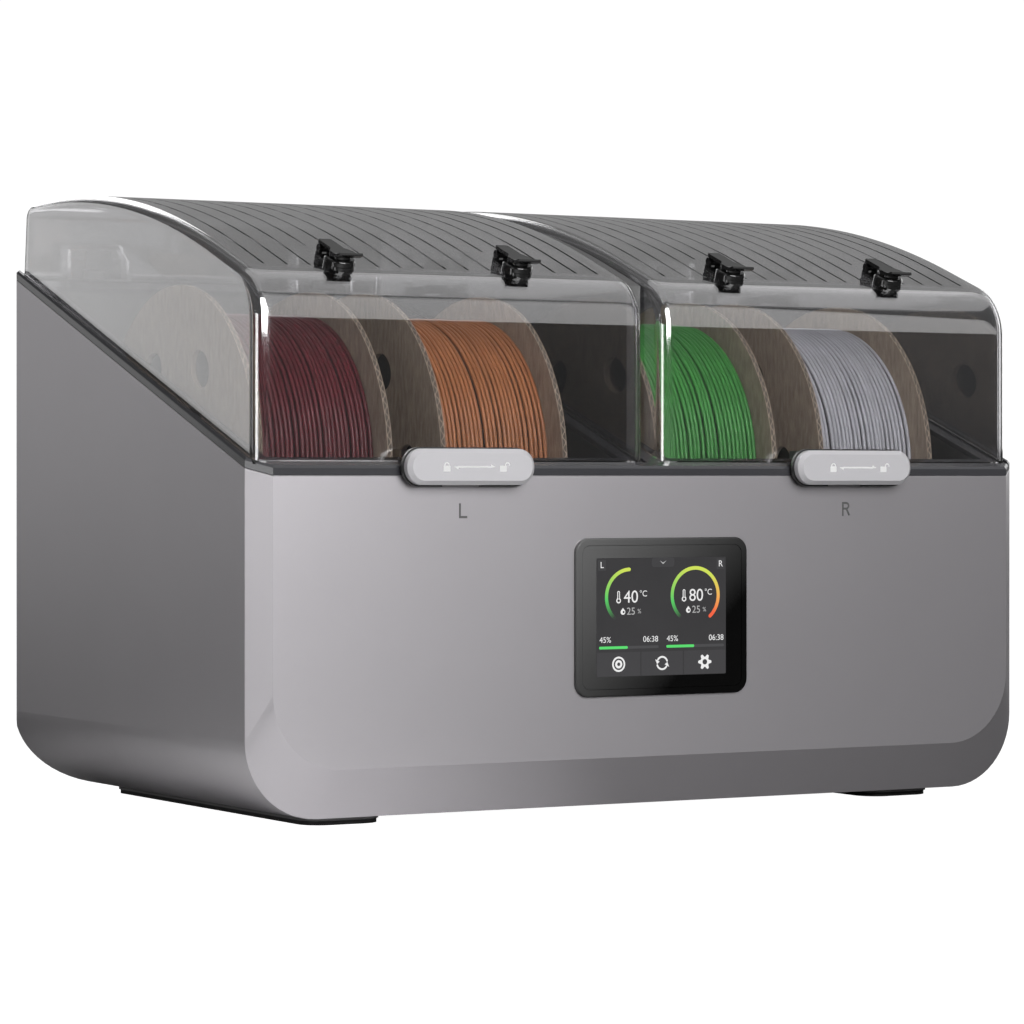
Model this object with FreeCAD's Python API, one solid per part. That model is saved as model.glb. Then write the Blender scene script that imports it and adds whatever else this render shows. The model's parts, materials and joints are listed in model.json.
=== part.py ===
import FreeCAD, Part
import math
import os

V = FreeCAD.Vector
X_AXIS = V(1, 0, 0)
Y_AXIS = V(0, 1, 0)
Z_AXIS = V(0, 0, 1)

# ---------------------------------------------------------------- driving dimensions, mm
# While modelling, X = 0 is the middle of the box, Y = 0 its front face and Z = 0 the table.
# save() moves every piece back by FOOTPRINT_CENTRE, so that the origin ends up in the middle
# of the footprint.
HALF_WIDTH = 250.0
DEPTH = 321.3
LATCH_FRONT = -10.5
FOOTPRINT_CENTRE = (DEPTH + LATCH_FRONT) / 2

# body of the case
BODY_BOTTOM = 5.15
FRONT_HALF_WIDTH = 239.0
FRONT_BOTTOM = 31.6
BEVEL_DEPTH = 11.0
FRONT_CORNER_R = 40.0
BODY_CORNER_R = 42.0
REAR_CORNER_R = 3.5
WALL = 3.0

# sloping rim on which the trim frame and the lids sit
RIM_FRONT = 186.6
RIM_SLOPE = 0.3655
SHELL_BEVEL = 0.6
TRIM_HEIGHT = 4.8
TRIM_BEVEL = 1.1
SHELF_HEIGHT = 3.0
GASKET_HEIGHT = 0.8
GASKET_REAR = 312.0
LID_LIFT = 4.2
DIVIDER_HALF = 4.0

# the two bays
BAYS = {"left": -125.0, "right": 125.0}
BAY_HALF = 109.0
TUB_WALL = 2.0
TUB_FRONT = 18.0
TUB_REAR = 296.0
TUB_FLOOR = 79.0

# lids
LID_INNER_X = 5.5
LID_OUTER_X = 246.0
LID_WALL = 2.6
LID_FRONT = 7.6
LID_EDGE_R = 7.0
LID_CORNERS = [
    (LID_FRONT, 100.0, 0.0),
    (LID_FRONT, 289.8, 30.0),
    (168.25, 350.8, 600.0),
    (317.3, 347.8, 10.0),
    (341.3, 100.0, 0.0),
]
LID_CORNER_Z = 270.0
LID_SPLITS = [15.0, 42.0, 105.0, 170.0, 235.0, 300.0]
GROOVE_COUNT = 16
GROOVE_PITCH = 13.8
GROOVE_WIDTH = 1.5
GROOVE_DEPTH = 0.8
GROOVE_FRONT = 31.0
GROOVE_REAR = 289.0
GROOVE_BEHIND_PORT = 64.0

# lid hinges
HINGE_Y = 316.5
HINGE_Z = 313.0
HINGE_OFFSET = 75.0
KNUCKLE_R = 4.0
HINGE_PIN_R = 2.0
LEAF_HALF = 8.0
BRACKET_END = 16.0
HINGE_GAP = 0.4
POCKET_HALF = 18.0
POCKET_FRONT = 309.5
POCKET_TOP = 321.5

# filament ports
PORT_OFFSETS = {"a": -60.0, "b": 50.0}
PORT_Y = 30.0
PORT_Z = 298.3
PORT_TILT = math.degrees(math.atan(0.38))
PORT_STEM_R = 6.0
PORT_BORE_R = 2.1
PORT_RING_R = 8.5
PORT_RING_TOP = 5.0
PORT_PLATE_TOP = 1.5
FLAP_UNDERSIDE = 6.8
FLAP_THICKNESS = 2.0
FLAP_PIN_U = 19.0
FLAP_PIN_V = 4.3
FLAP_PIN_R = 1.0
FLAP_KNUCKLE_R = 2.2
FLAP_KNUCKLE_HALF = 2.1
FLAP_EAR_INNER = 2.3
FLAP_HALF = 4.0

# spools and the rollers that carry them
SPOOL_OFFSETS = {"a": -66.0, "b": 44.0}
SPOOL_Y = 133.0
SPOOL_Z = 191.7
SPOOL_R = 100.0
SPOOL_HALF = 40.0
FLANGE = 3.0
CARDBOARD = 3.0
WINDING_R = 85.0
CORE_R = 50.0
SPOOL_BORE_R = 24.5
ROLLER_R = 10.0
ROLLER_SPREAD = 63.3
ROLLER_Z = 101.3
ROLLER_HALF = 38.0
SHAFT_R = 3.0
RUNNING_GAP = 0.05

# latches
LATCH_Z = 191.0
LATCH_HALF = 39.0
LATCH_HEIGHT = 19.4
LATCH_BACK = -4.6
LATCH_TRAVEL = 10.0
LATCH_BEVEL = 2.3

# display on the front
DISPLAY_Z = 108.7
BEZEL_HALF_X = 56.0
BEZEL_HALF_Z = 43.5
SCREEN_HALF_X = 42.3
SCREEN_HALF_Z = 32.6

# fans and heaters at the rear of each bay
FAN_Z = 140.0
FAN_FRONT = 262.0
FAN_BACK = 282.0
FAN_HALF = 40.0
FAN_OPENING_R = 37.0
FAN_HUB_R = 14.0

# rear panel
PANEL_HALF = 222.0
PANEL_BOTTOM = 56.0
PANEL_TOP = 272.0
PANEL_FACE = 320.0
PANEL_GAP = 0.4
VENT_PITCH = 7.0
VENT_HALF = 1.6
VENT_Z = 175.0
SUPPLY_VENT_X = 90.0
INLET_X = -150.0
INLET_Z = 82.0
SWITCH_X = -100.0
SWITCH_TILT = 8.0


# ---------------------------------------------------------------- helpers
def box(x0, x1, y0, y1, z0, z1):
    return Part.makeBox(x1 - x0, y1 - y0, z1 - z0, V(x0, y0, z0))


def rod_x(x0, x1, y, z, radius):
    return Part.makeCylinder(radius, x1 - x0, V(x0, y, z), X_AXIS)


def rod_y(x, z, y0, y1, radius):
    return Part.makeCylinder(radius, y1 - y0, V(x, y0, z), Y_AXIS)


def rod_z(x, y, z0, z1, radius):
    return Part.makeCylinder(radius, z1 - z0, V(x, y, z0), Z_AXIS)


def merge(shapes):
    return shapes[0].multiFuse(shapes[1:]).removeSplitter()


def yz(y, z):
    return V(0, y, z)


def xz(x, z):
    return V(x, 0, z)


def xy(x, y):
    return V(x, y, 0)


def outline(corners, place):
    """Closed wire through corners (a, b, radius), each rounded by an arc of its radius."""
    count = len(corners)
    arcs = []
    for i in range(count):
        before = V(corners[i - 1][0], corners[i - 1][1], 0)
        here = V(corners[i][0], corners[i][1], 0)
        after = V(corners[(i + 1) % count][0], corners[(i + 1) % count][1], 0)
        radius = corners[i][2]
        to_before = (before - here).normalize()
        to_after = (after - here).normalize()
        half_angle = to_before.getAngle(to_after) / 2
        reach = radius / math.tan(half_angle)
        bisector = (to_before + to_after).normalize()
        middle = here + bisector * (radius / math.sin(half_angle) - radius)
        arcs.append((here + to_before * reach, middle, here + to_after * reach, radius))
    edges = []
    for i in range(count):
        start, middle, end, radius = arcs[i]
        if radius > 0:
            points = [place(p.x, p.y) for p in (start, middle, end)]
            edges.append(Part.Arc(points[0], points[1], points[2]).toShape())
        following = arcs[(i + 1) % count][0]
        edges.append(Part.makeLine(place(end.x, end.y), place(following.x, following.y)))
    return Part.Wire(edges)


def prism(corners, place, direction, start, end):
    """Solid from an outline, from start to end along one axis."""
    face = Part.Face(outline(corners, place))
    face.translate(direction * start)
    return face.extrude(direction * (end - start))


def inset(corners, distance):
    """The same convex outline moved inwards by a distance, arcs included."""
    count = len(corners)
    middle = V(sum(c[0] for c in corners) / count, sum(c[1] for c in corners) / count, 0)
    lines = []
    for i in range(count):
        start = V(corners[i][0], corners[i][1], 0)
        end = V(corners[(i + 1) % count][0], corners[(i + 1) % count][1], 0)
        along = (end - start).normalize()
        inward = V(-along.y, along.x, 0)
        if inward.dot(middle - start) < 0:
            inward = inward * -1
        lines.append((start + inward * distance, along))
    moved = []
    for i in range(count):
        p, d = lines[i - 1]
        q, e = lines[i]
        reach = ((q.x - p.x) * e.y - (q.y - p.y) * e.x) / (d.x * e.y - d.y * e.x)
        corner = p + d * reach
        radius = corners[i][2]
        moved.append((corner.x, corner.y, radius - distance if radius > 0 else 0.0))
    return moved


def rounded_plate(half_x, half_z, x, z, y0, y1, radius):
    corners = [
        (x - half_x, z - half_z, radius),
        (x + half_x, z - half_z, radius),
        (x + half_x, z + half_z, radius),
        (x - half_x, z + half_z, radius),
    ]
    return prism(corners, xz, Y_AXIS, y0, y1)


def rim(y):
    return RIM_FRONT + RIM_SLOPE * y


def below_rim(lift):
    """Everything under a plane that lies lift above the sloping rim."""
    corners = [(-60, -60, 0), (420, -60, 0), (420, rim(420) + lift, 0), (-60, rim(-60) + lift, 0)]
    return prism(corners, yz, X_AXIS, -300, 300)


def above_rim(lift):
    corners = [(-60, 600, 0), (420, 600, 0), (420, rim(420) + lift, 0), (-60, rim(-60) + lift, 0)]
    return prism(corners, yz, X_AXIS, -300, 300)


def save(name, shape):
    shape = shape.copy()
    shape.translate(V(0, -FOOTPRINT_CENTRE, 0))
    shape.exportStep("parts/" + name + ".step")
    print(name, "solids", len(shape.Solids), "valid", shape.isValid(), "volume", round(shape.Volume))


# ---------------------------------------------------------------- case
def contour(half_width, bottom, radius, y):
    top = 420.0
    corners = [
        (-half_width, bottom, radius),
        (half_width, bottom, radius),
        (half_width, top, 0),
        (-half_width, top, 0),
    ]
    wire = outline(corners, xz)
    wire.translate(V(0, y, 0))
    return wire


def body_form(margin):
    """The case as a block, every side moved inwards by margin, without its sloping top."""
    half_width = HALF_WIDTH - margin
    bottom = BODY_BOTTOM + margin
    radius = BODY_CORNER_R - margin
    rear = DEPTH - margin
    bevel_end = BEVEL_DEPTH + margin / 2
    front = contour(FRONT_HALF_WIDTH - margin, FRONT_BOTTOM + margin, FRONT_CORNER_R - margin, margin)
    back = contour(half_width, bottom, radius, bevel_end)
    bevel = Part.makeLoft([front, back], True, True)
    block = Part.Face(back).extrude(Y_AXIS * (rear - bevel_end))
    side_view = [(-5, bottom, 0), (rear, bottom, radius), (rear, 420, 0), (-5, 420, 0)]
    plan_view = [
        (-half_width, -5, 0),
        (half_width, -5, 0),
        (half_width, rear, REAR_CORNER_R - margin),
        (-half_width, rear, REAR_CORNER_R - margin),
    ]
    form = bevel.fuse(block).removeSplitter()
    form = form.common(prism(side_view, yz, X_AXIS, -300, 300))
    return form.common(prism(plan_view, xy, Z_AXIS, -20, 430))


def letters():
    """Cutters for the small L and R that mark the two bays."""
    stroke = 1.2
    depth = 0.7
    height = 8.0
    z0 = 163.5
    x = BAYS["left"] - 3
    letter_l = merge([
        box(x, x + stroke, -1, depth, z0, z0 + height),
        box(x, x + 5.2, -1, depth, z0, z0 + stroke),
    ])
    x = BAYS["right"] - 3
    bowl_r = 2.2
    bowl_z = z0 + height - bowl_r
    bowl = rod_y(x + 3, bowl_z, -1, depth, bowl_r).cut(rod_y(x + 3, bowl_z, -2, 2, bowl_r - stroke))
    bowl = bowl.common(box(x + 3, x + 9, -2, 2, z0, z0 + 9))
    leg = box(-stroke / 2, stroke / 2, -1, depth, -4.4, 0)
    leg.rotate(V(0, 0, 0), Y_AXIS, -28)
    leg.translate(V(x + 3, 0, bowl_z - bowl_r + stroke / 2))
    letter_r = merge([
        box(x, x + stroke, -1, depth, z0, z0 + height),
        box(x, x + 3, -1, depth, bowl_z + bowl_r - stroke, bowl_z + bowl_r),
        box(x, x + 3, -1, depth, bowl_z - bowl_r, bowl_z - bowl_r + stroke),
        bowl,
        leg,
    ])
    return [letter_l, letter_r]


BOTTOM_SCREWS = [(x, y) for x in (-120.0, 120.0) for y in (40.0, 160.0, 265.0)]
SCREW_HOLE_R = 1.8
SCREW_R = 1.5
SCREW_HEAD_R = 3.2


def edges_at_rim(shape, lift):
    """Edges of a shape that lie in the plane lift above the sloping rim."""
    found = []
    for edge in shape.Edges:
        ends = [vertex.Point for vertex in edge.Vertexes]
        if all(abs(p.z - rim(p.y) - lift) < 0.01 for p in ends):
            found.append(edge)
    return found


def outer_shell():
    block = body_form(0).common(below_rim(0))
    block = block.makeChamfer(SHELL_BEVEL, edges_at_rim(block, 0))
    shell = block.cut(body_form(WALL))
    shell = shell.cut(rounded_plate(51, 38.5, 0, DISPLAY_Z, -3, WALL + 2, 5))
    panel_z = (PANEL_TOP + PANEL_BOTTOM) / 2
    panel_half_z = (PANEL_TOP - PANEL_BOTTOM) / 2
    shell = shell.cut(rounded_plate(PANEL_HALF, panel_half_z, 0, panel_z, DEPTH - 6, DEPTH + 5, 12))
    for cutter in letters():
        shell = shell.cut(cutter)
    floor = BODY_BOTTOM + WALL
    bosses = [rod_z(x, y, floor, floor + 9, 4) for x, y in BOTTOM_SCREWS]
    holes = [rod_z(x, y, 0, floor + 10, SCREW_HOLE_R) for x, y in BOTTOM_SCREWS]
    return shell.multiFuse(bosses).cut(Part.makeCompound(holes))


def foot_outline(x, grow):
    """Long rail that runs from front to back, with round ends."""
    half = 24.0 + grow
    radius = 14.0 + grow
    return [
        (x - half, 25.0 - grow, radius),
        (x + half, 25.0 - grow, radius),
        (x + half, 280.0 + grow, radius),
        (x - half, 280.0 + grow, radius),
    ]


FOOT_X = 182.0
PAD_HEIGHT = 2.4


def foot_rails():
    rails = [prism(foot_outline(x, 0), xy, Z_AXIS, PAD_HEIGHT, BODY_BOTTOM) for x in (-FOOT_X, FOOT_X)]
    return Part.makeCompound(rails)


def foot_pads():
    pads = [prism(foot_outline(x, -1), xy, Z_AXIS, 0, PAD_HEIGHT) for x in (-FOOT_X, FOOT_X)]
    return Part.makeCompound(pads)


def case_screws():
    """Pan-head screws under the case, one with each boss."""
    screws = []
    for x, y in BOTTOM_SCREWS:
        head = rod_z(x, y, BODY_BOTTOM - 1.6, BODY_BOTTOM, SCREW_HEAD_R)
        shank = rod_z(x, y, BODY_BOTTOM - 1, BODY_BOTTOM + 10, SCREW_R)
        screws.append(merge([head, shank]))
    return Part.makeCompound(screws)


# ---------------------------------------------------------------- trim, tubs and divider
KEEPER_X0 = -14.0
KEEPER_X1 = -5.0


def trim_band():
    """Slice of the case's form on top of the rim, with a small bevel round its upper edge."""
    band = body_form(0).common(above_rim(0)).common(below_rim(TRIM_HEIGHT))
    return band.makeChamfer(TRIM_BEVEL, edges_at_rim(band, TRIM_HEIGHT))


def trim_frame():
    """Charcoal frame on the rim: outer lip, shelf for the gaskets and keepers for the latches."""
    frame = trim_band()
    seats = []
    for bay in BAYS.values():
        side = math.copysign(1, bay)
        x0, x1 = sorted((side * (DIVIDER_HALF + 0.5), side * (LID_OUTER_X + 1)))
        seats.append(box(x0, x1, LID_FRONT - 1, DEPTH + 10, 150, 420).common(above_rim(SHELF_HEIGHT)))
        frame = frame.cut(box(bay - BAY_HALF, bay + BAY_HALF, TUB_FRONT, TUB_REAR, 150, 420))
    frame = frame.cut(Part.makeCompound(seats))
    keepers = [box(bay + KEEPER_X0, bay + KEEPER_X1, -3.2, 0.5, 187.2, 190.2) for bay in BAYS.values()]
    return merge([frame] + keepers)


def gaskets():
    """Rubber ring under the edge of each lid."""
    rings = []
    for bay in BAYS.values():
        side = math.copysign(1, bay)
        x0, x1 = sorted((side * LID_INNER_X, side * LID_OUTER_X))
        ring = box(x0, x1, LID_FRONT, GASKET_REAR, 150, 420)
        ring = ring.cut(box(x0 + 3, x1 - 3, LID_FRONT + 3, GASKET_REAR - 3, 100, 450))
        rings.append(ring.common(above_rim(SHELF_HEIGHT)).common(below_rim(SHELF_HEIGHT + GASKET_HEIGHT)))
    return Part.makeCompound(rings)


def tub(bay):
    """Open-topped chamber liner that hangs under the trim frame."""
    outer = box(
        bay - BAY_HALF - TUB_WALL,
        bay + BAY_HALF + TUB_WALL,
        TUB_FRONT - TUB_WALL,
        TUB_REAR + TUB_WALL,
        TUB_FLOOR - TUB_WALL,
        420,
    )
    inner = box(bay - BAY_HALF, bay + BAY_HALF, TUB_FRONT, TUB_REAR, TUB_FLOOR, 430)
    liner = outer.cut(inner).common(below_rim(0))
    slots = []
    for i in range(-6, 7):
        x = bay + i * 6.0
        slots.append(box(x - 1.5, x + 1.5, TUB_REAR - 1, TUB_REAR + 5, FAN_Z - 28, FAN_Z + 28))
    return liner.cut(Part.makeCompound(slots))


def divider():
    """Opaque spine between the lids, a little lower than they are."""
    corners = inset(LID_CORNERS, 4.5)
    spine = prism(corners, yz, X_AXIS, -DIVIDER_HALF, DIVIDER_HALF)
    spine = spine.common(box(-10, 10, 28, 314, 150, 420))
    return spine.common(above_rim(TRIM_HEIGHT))


# ---------------------------------------------------------------- display
def display_bezel():
    plate = rounded_plate(BEZEL_HALF_X, BEZEL_HALF_Z, 0, DISPLAY_Z, -2.2, 0, 8)
    rim_edges = [e for e in plate.Edges if max(v.Y for v in e.Vertexes) < -2.1]
    plate = plate.makeFillet(1.2, rim_edges)
    tray = rounded_plate(50.7, 38.2, 0, DISPLAY_Z, 0, 6, 4.7)
    bezel = plate.fuse(tray).removeSplitter()
    bezel = bezel.cut(rounded_plate(52, 39.5, 0, DISPLAY_Z, -3, -1, 5))
    return bezel.cut(rounded_plate(46, 35, 0, DISPLAY_Z, -2, 10, 2))


def display_glass():
    return rounded_plate(51.8, 39.3, 0, DISPLAY_Z, -2.0, -1.0, 4.8)


def display_panel():
    return rounded_plate(45.6, 34.6, 0, DISPLAY_Z, -0.9, 2.6, 1)


def display_board():
    board = box(-50, 50, 6.0, 7.6, DISPLAY_Z - 37.5, DISPLAY_Z + 37.5)
    chip = box(-12, 8, 7.6, 9.4, DISPLAY_Z - 12, DISPLAY_Z + 8)
    plug = box(-48, -38, 7.6, 12.0, DISPLAY_Z - 30, DISPLAY_Z - 14)
    spacer = [rod_y(x, z, 2.6, 6.0, 2) for x in (-40, 40) for z in (DISPLAY_Z - 28, DISPLAY_Z + 28)]
    return merge([board, chip, plug] + spacer)


# ---------------------------------------------------------------- electronics in the base
FLOOR_TOP = BODY_BOTTOM + WALL


def control_board():
    z0 = FLOOR_TOP + 6
    parts = [box(-70, 70, 60, 150, z0, z0 + 1.6)]
    parts += [rod_z(x, y, FLOOR_TOP, z0, 3) for x in (-64, 64) for y in (66, 144)]
    parts.append(box(-15, 5, 90, 110, z0 + 1.6, z0 + 3.4))
    parts += [box(-60 + 22 * i, -44 + 22 * i, 62, 70, z0 + 1.6, z0 + 11) for i in range(6)]
    parts += [box(30 + 16 * i, 42 + 16 * i, 115, 135, z0 + 1.6, z0 + 17) for i in range(2)]
    parts += [rod_z(-50 + 14 * i, 130, z0 + 1.6, z0 + 14, 5) for i in range(3)]
    return merge(parts)


def power_supply():
    case = box(-205, -88, 170, 256, FLOOR_TOP, FLOOR_TOP + 40)
    slots = []
    for i in range(8):
        x = -198 + 13 * i
        slots.append(box(x, x + 5, 176, 250, FLOOR_TOP + 38.5, FLOOR_TOP + 50))
    return case.cut(Part.makeCompound(slots))


# ---------------------------------------------------------------- rear panel
PANEL_SCREWS = [(x, z) for x in (-210.0, 0.0, 210.0) for z in (64.0, 258.0)]


def rear_panel():
    panel_z = (PANEL_TOP + PANEL_BOTTOM) / 2
    panel_half_z = (PANEL_TOP - PANEL_BOTTOM) / 2
    inner_face = DEPTH - WALL
    flange = rounded_plate(PANEL_HALF + 7, panel_half_z + 7, 0, panel_z, inner_face - 2.4, inner_face, 14)
    half_x = PANEL_HALF - PANEL_GAP
    half_z = panel_half_z - PANEL_GAP
    face = rounded_plate(half_x, half_z, 0, panel_z, inner_face - 1, PANEL_FACE, 11.6)
    panel = merge([flange, face])
    cutters = [rounded_plate(32, 17, INLET_X, INLET_Z, 317.3, 330, 3)]
    cutters.append(box(INLET_X - 14, INLET_X + 14, 300, 330, INLET_Z - 10.2, INLET_Z + 10.2))
    cutters.append(rounded_plate(14, 12, SWITCH_X, INLET_Z, 317.3, 330, 3))
    cutters.append(box(SWITCH_X - 10.2, SWITCH_X + 10.2, 300, 330, INLET_Z - 7.7, INLET_Z + 7.7))
    for bay in BAYS.values():
        for i in range(-7, 8):
            x = bay + i * VENT_PITCH
            cutters.append(rounded_plate(VENT_HALF, 34, x, VENT_Z, 300, 330, 1.5))
    for i in range(-9, 10):
        x = SUPPLY_VENT_X + i * VENT_PITCH
        cutters.append(rounded_plate(VENT_HALF, 12, x, INLET_Z, 300, 330, 1.5))
    cutters += [rod_y(x, z, 300, 330, SCREW_HOLE_R) for x, z in PANEL_SCREWS]
    return panel.cut(Part.makeCompound(cutters))


def panel_screws():
    screws = []
    for x, z in PANEL_SCREWS:
        head = rod_y(x, z, PANEL_FACE, PANEL_FACE + 1.2, SCREW_HEAD_R)
        shank = rod_y(x, z, PANEL_FACE - 8, PANEL_FACE + 1, SCREW_R)
        slot_a = box(x - 1.8, x + 1.8, PANEL_FACE + 0.6, PANEL_FACE + 3, z - 0.4, z + 0.4)
        slot_b = box(x - 0.4, x + 0.4, PANEL_FACE + 0.6, PANEL_FACE + 3, z - 1.8, z + 1.8)
        screws.append(merge([head, shank]).cut(slot_a).cut(slot_b))
    return Part.makeCompound(screws)


def inlet_socket():
    flange = rounded_plate(25, 12, INLET_X, INLET_Z, 317.3, 319.8, 3)
    body = box(INLET_X - 13.8, INLET_X + 13.8, 299, 317.3, INLET_Z - 10, INLET_Z + 10)
    mouth = [
        (INLET_X - 12, INLET_Z - 8.2, 1),
        (INLET_X + 12, INLET_Z - 8.2, 1),
        (INLET_X + 12, INLET_Z + 4, 1),
        (INLET_X + 8, INLET_Z + 8.2, 1),
        (INLET_X - 8, INLET_Z + 8.2, 1),
        (INLET_X - 12, INLET_Z + 4, 1),
    ]
    socket = merge([flange, body]).cut(prism(mouth, xz, Y_AXIS, 304, 330))
    for side in (-1, 1):
        socket = socket.cut(rod_y(INLET_X + side * 20, INLET_Z, 300, 330, 1.8))
    return socket


def inlet_pins():
    pins = []
    for x, z in ((-7.0, 0.0), (7.0, 0.0), (0.0, 3.6)):
        pins.append(box(INLET_X + x - 1, INLET_X + x + 1, 304, 316, INLET_Z + z - 2, INLET_Z + z + 2))
    return Part.makeCompound(pins)


SWITCH_PIVOT_Y = 315.5


def switch_frame():
    frame = rounded_plate(12, 9.5, SWITCH_X, INLET_Z, 317.3, 319.3, 2)
    housing = box(SWITCH_X - 10, SWITCH_X + 10, 303, 317.3, INLET_Z - 7.5, INLET_Z + 7.5)
    window = box(SWITCH_X - 8.2, SWITCH_X + 8.2, 309, 330, INLET_Z - 6.4, INLET_Z + 6.4)
    axle = rod_x(SWITCH_X - 9.2, SWITCH_X + 9.2, SWITCH_PIVOT_Y, INLET_Z, 1 + RUNNING_GAP)
    return merge([frame, housing]).cut(window).cut(axle)


def switch_rocker():
    """Rocker with a shallow V face, resting in the off position."""
    corners = [
        (312.5, -4.0, 0),
        (319.8, -5.5, 0),
        (318.6, 0.0, 0),
        (319.8, 5.5, 0),
        (312.5, 4.0, 0),
    ]
    rocker = prism(corners, yz, X_AXIS, SWITCH_X - 7.8, SWITCH_X + 7.8)
    rocker.translate(V(0, 0, INLET_Z))
    rocker = rocker.fuse(rod_x(SWITCH_X - 9, SWITCH_X + 9, SWITCH_PIVOT_Y, INLET_Z, 1))
    rocker.rotate(V(SWITCH_X, SWITCH_PIVOT_Y, INLET_Z), X_AXIS, -SWITCH_TILT)
    return rocker


# ---------------------------------------------------------------- heaters, fans and sensors
def heaters():
    blocks = []
    for bay in BAYS.values():
        parts = [box(bay - 36, bay + 36, 284, 294, z, z + 4) for z in (FAN_Z - 30, FAN_Z - 2, FAN_Z + 26)]
        for i in range(-11, 12):
            fin = bay + 3 * i
            parts.append(box(fin - 0.4, fin + 0.4, 284, 294, FAN_Z - 30, FAN_Z + 30))
        for side in (-1, 1):
            post = bay + side * 36
            foot = bay + side * 30
            parts.append(box(post - 2, post + 2, 284, 294, FAN_Z - 30, FAN_Z + 30))
            parts.append(box(foot - 4, foot + 4, 284, 294, TUB_FLOOR, FAN_Z - 30))
        blocks.append(merge(parts))
    return Part.makeCompound(blocks)


def fan_frames():
    """Square fan frames that stand on the tub floor, with stator and axle."""
    frames = []
    for bay in BAYS.values():
        x0, x1 = bay - FAN_HALF, bay + FAN_HALF
        frame = box(x0, x1, FAN_FRONT, FAN_BACK, FAN_Z - FAN_HALF, FAN_Z + FAN_HALF)
        frame = frame.cut(rod_y(bay, FAN_Z, FAN_FRONT - 5, FAN_BACK + 5, FAN_OPENING_R))
        for x in (bay - 35.5, bay + 35.5):
            for z in (FAN_Z - 35.5, FAN_Z + 35.5):
                frame = frame.cut(rod_y(x, z, FAN_FRONT - 5, FAN_BACK + 5, 2.2))
        stator = rod_y(bay, FAN_Z, FAN_BACK - 3, FAN_BACK, FAN_HUB_R)
        axle = rod_y(bay, FAN_Z, FAN_FRONT + 1, FAN_BACK, 2)
        bar_a = box(bay - 38, bay + 38, FAN_BACK - 3, FAN_BACK, FAN_Z - 1.5, FAN_Z + 1.5)
        bar_b = box(bay - 1.5, bay + 1.5, FAN_BACK - 3, FAN_BACK, FAN_Z - 38, FAN_Z + 38)
        legs = []
        for x in (x0 + 4, x1 - 12):
            legs.append(box(x, x + 8, FAN_FRONT, FAN_BACK, TUB_FLOOR, FAN_Z - FAN_HALF))
        frames.append(merge([frame, stator, axle, bar_a, bar_b] + legs))
    return Part.makeCompound(frames)


def fan_rotor(bay):
    hub = rod_y(bay, FAN_Z, FAN_FRONT + 2, FAN_BACK - 4, FAN_HUB_R)
    blades = []
    for i in range(7):
        blade = box(-8, 8, -0.8, 0.8, FAN_HUB_R - 2, FAN_OPENING_R - 1.5)
        blade.rotate(V(0, 0, 0), Z_AXIS, 38)
        blade.rotate(V(0, 0, 0), Y_AXIS, i * 360.0 / 7)
        blade.translate(V(bay, (FAN_FRONT + FAN_BACK) / 2 - 1, FAN_Z))
        blades.append(blade)
    rotor = merge([hub] + blades)
    return rotor.cut(rod_y(bay, FAN_Z, FAN_FRONT - 5, FAN_BACK, 2 + RUNNING_GAP))


def humidity_sensors():
    """Small slotted housings on the inner wall of each tub."""
    sensors = []
    for bay in BAYS.values():
        x = bay + BAY_HALF
        housing = box(x - 7, x, 246, 266, 230, 254)
        for i in range(4):
            z = 234 + 5 * i
            housing = housing.cut(box(x - 9, x - 5.5, 249, 263, z, z + 2))
        sensors.append(housing)
    return Part.makeCompound(sensors)


# ---------------------------------------------------------------- spools and rollers
ROLLER_YS = {"front": SPOOL_Y - ROLLER_SPREAD, "rear": SPOOL_Y + ROLLER_SPREAD}
POST_OFFSETS = (-106.0, -13.0, 89.0)


def roller_shafts():
    """Fixed steel shafts, two to a bay."""
    shafts = []
    for bay in BAYS.values():
        for y in ROLLER_YS.values():
            start = bay + POST_OFFSETS[0] - 1.5
            end = bay + POST_OFFSETS[2] + 1.5
            shafts.append(rod_x(start, end, y, ROLLER_Z, SHAFT_R))
    return Part.makeCompound(shafts)


def roller_cradles():
    """Low brackets on the tub floor that hold the shafts at their ends and in the middle."""
    cradles = []
    for bay in BAYS.values():
        for y in ROLLER_YS.values():
            base = box(bay + POST_OFFSETS[0] - 1.5, bay + POST_OFFSETS[2] + 1.5, y - 6, y + 6,
                       TUB_FLOOR, TUB_FLOOR + 1.6)
            parts = [base]
            for offset in POST_OFFSETS:
                x = bay + offset
                parts.append(box(x - 1.5, x + 1.5, y - 5, y + 5, TUB_FLOOR, ROLLER_Z))
                parts.append(rod_x(x - 1.5, x + 1.5, y, ROLLER_Z, 5))
            cradle = merge(parts)
            cradles.append(cradle.cut(rod_x(bay - 150, bay + 150, y, ROLLER_Z, SHAFT_R)))
    return Part.makeCompound(cradles)


def roller(x, y):
    """Sleeve with a raised ring near each end, turning on its shaft."""
    body = rod_x(x - ROLLER_HALF, x + ROLLER_HALF, y, ROLLER_Z, ROLLER_R - 1)
    rings = [rod_x(x + s * 32 - 5, x + s * 32 + 5, y, ROLLER_Z, ROLLER_R) for s in (-1, 1)]
    sleeve = merge([body] + rings)
    return sleeve.cut(rod_x(x - 50, x + 50, y, ROLLER_Z, SHAFT_R + RUNNING_GAP))


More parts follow.
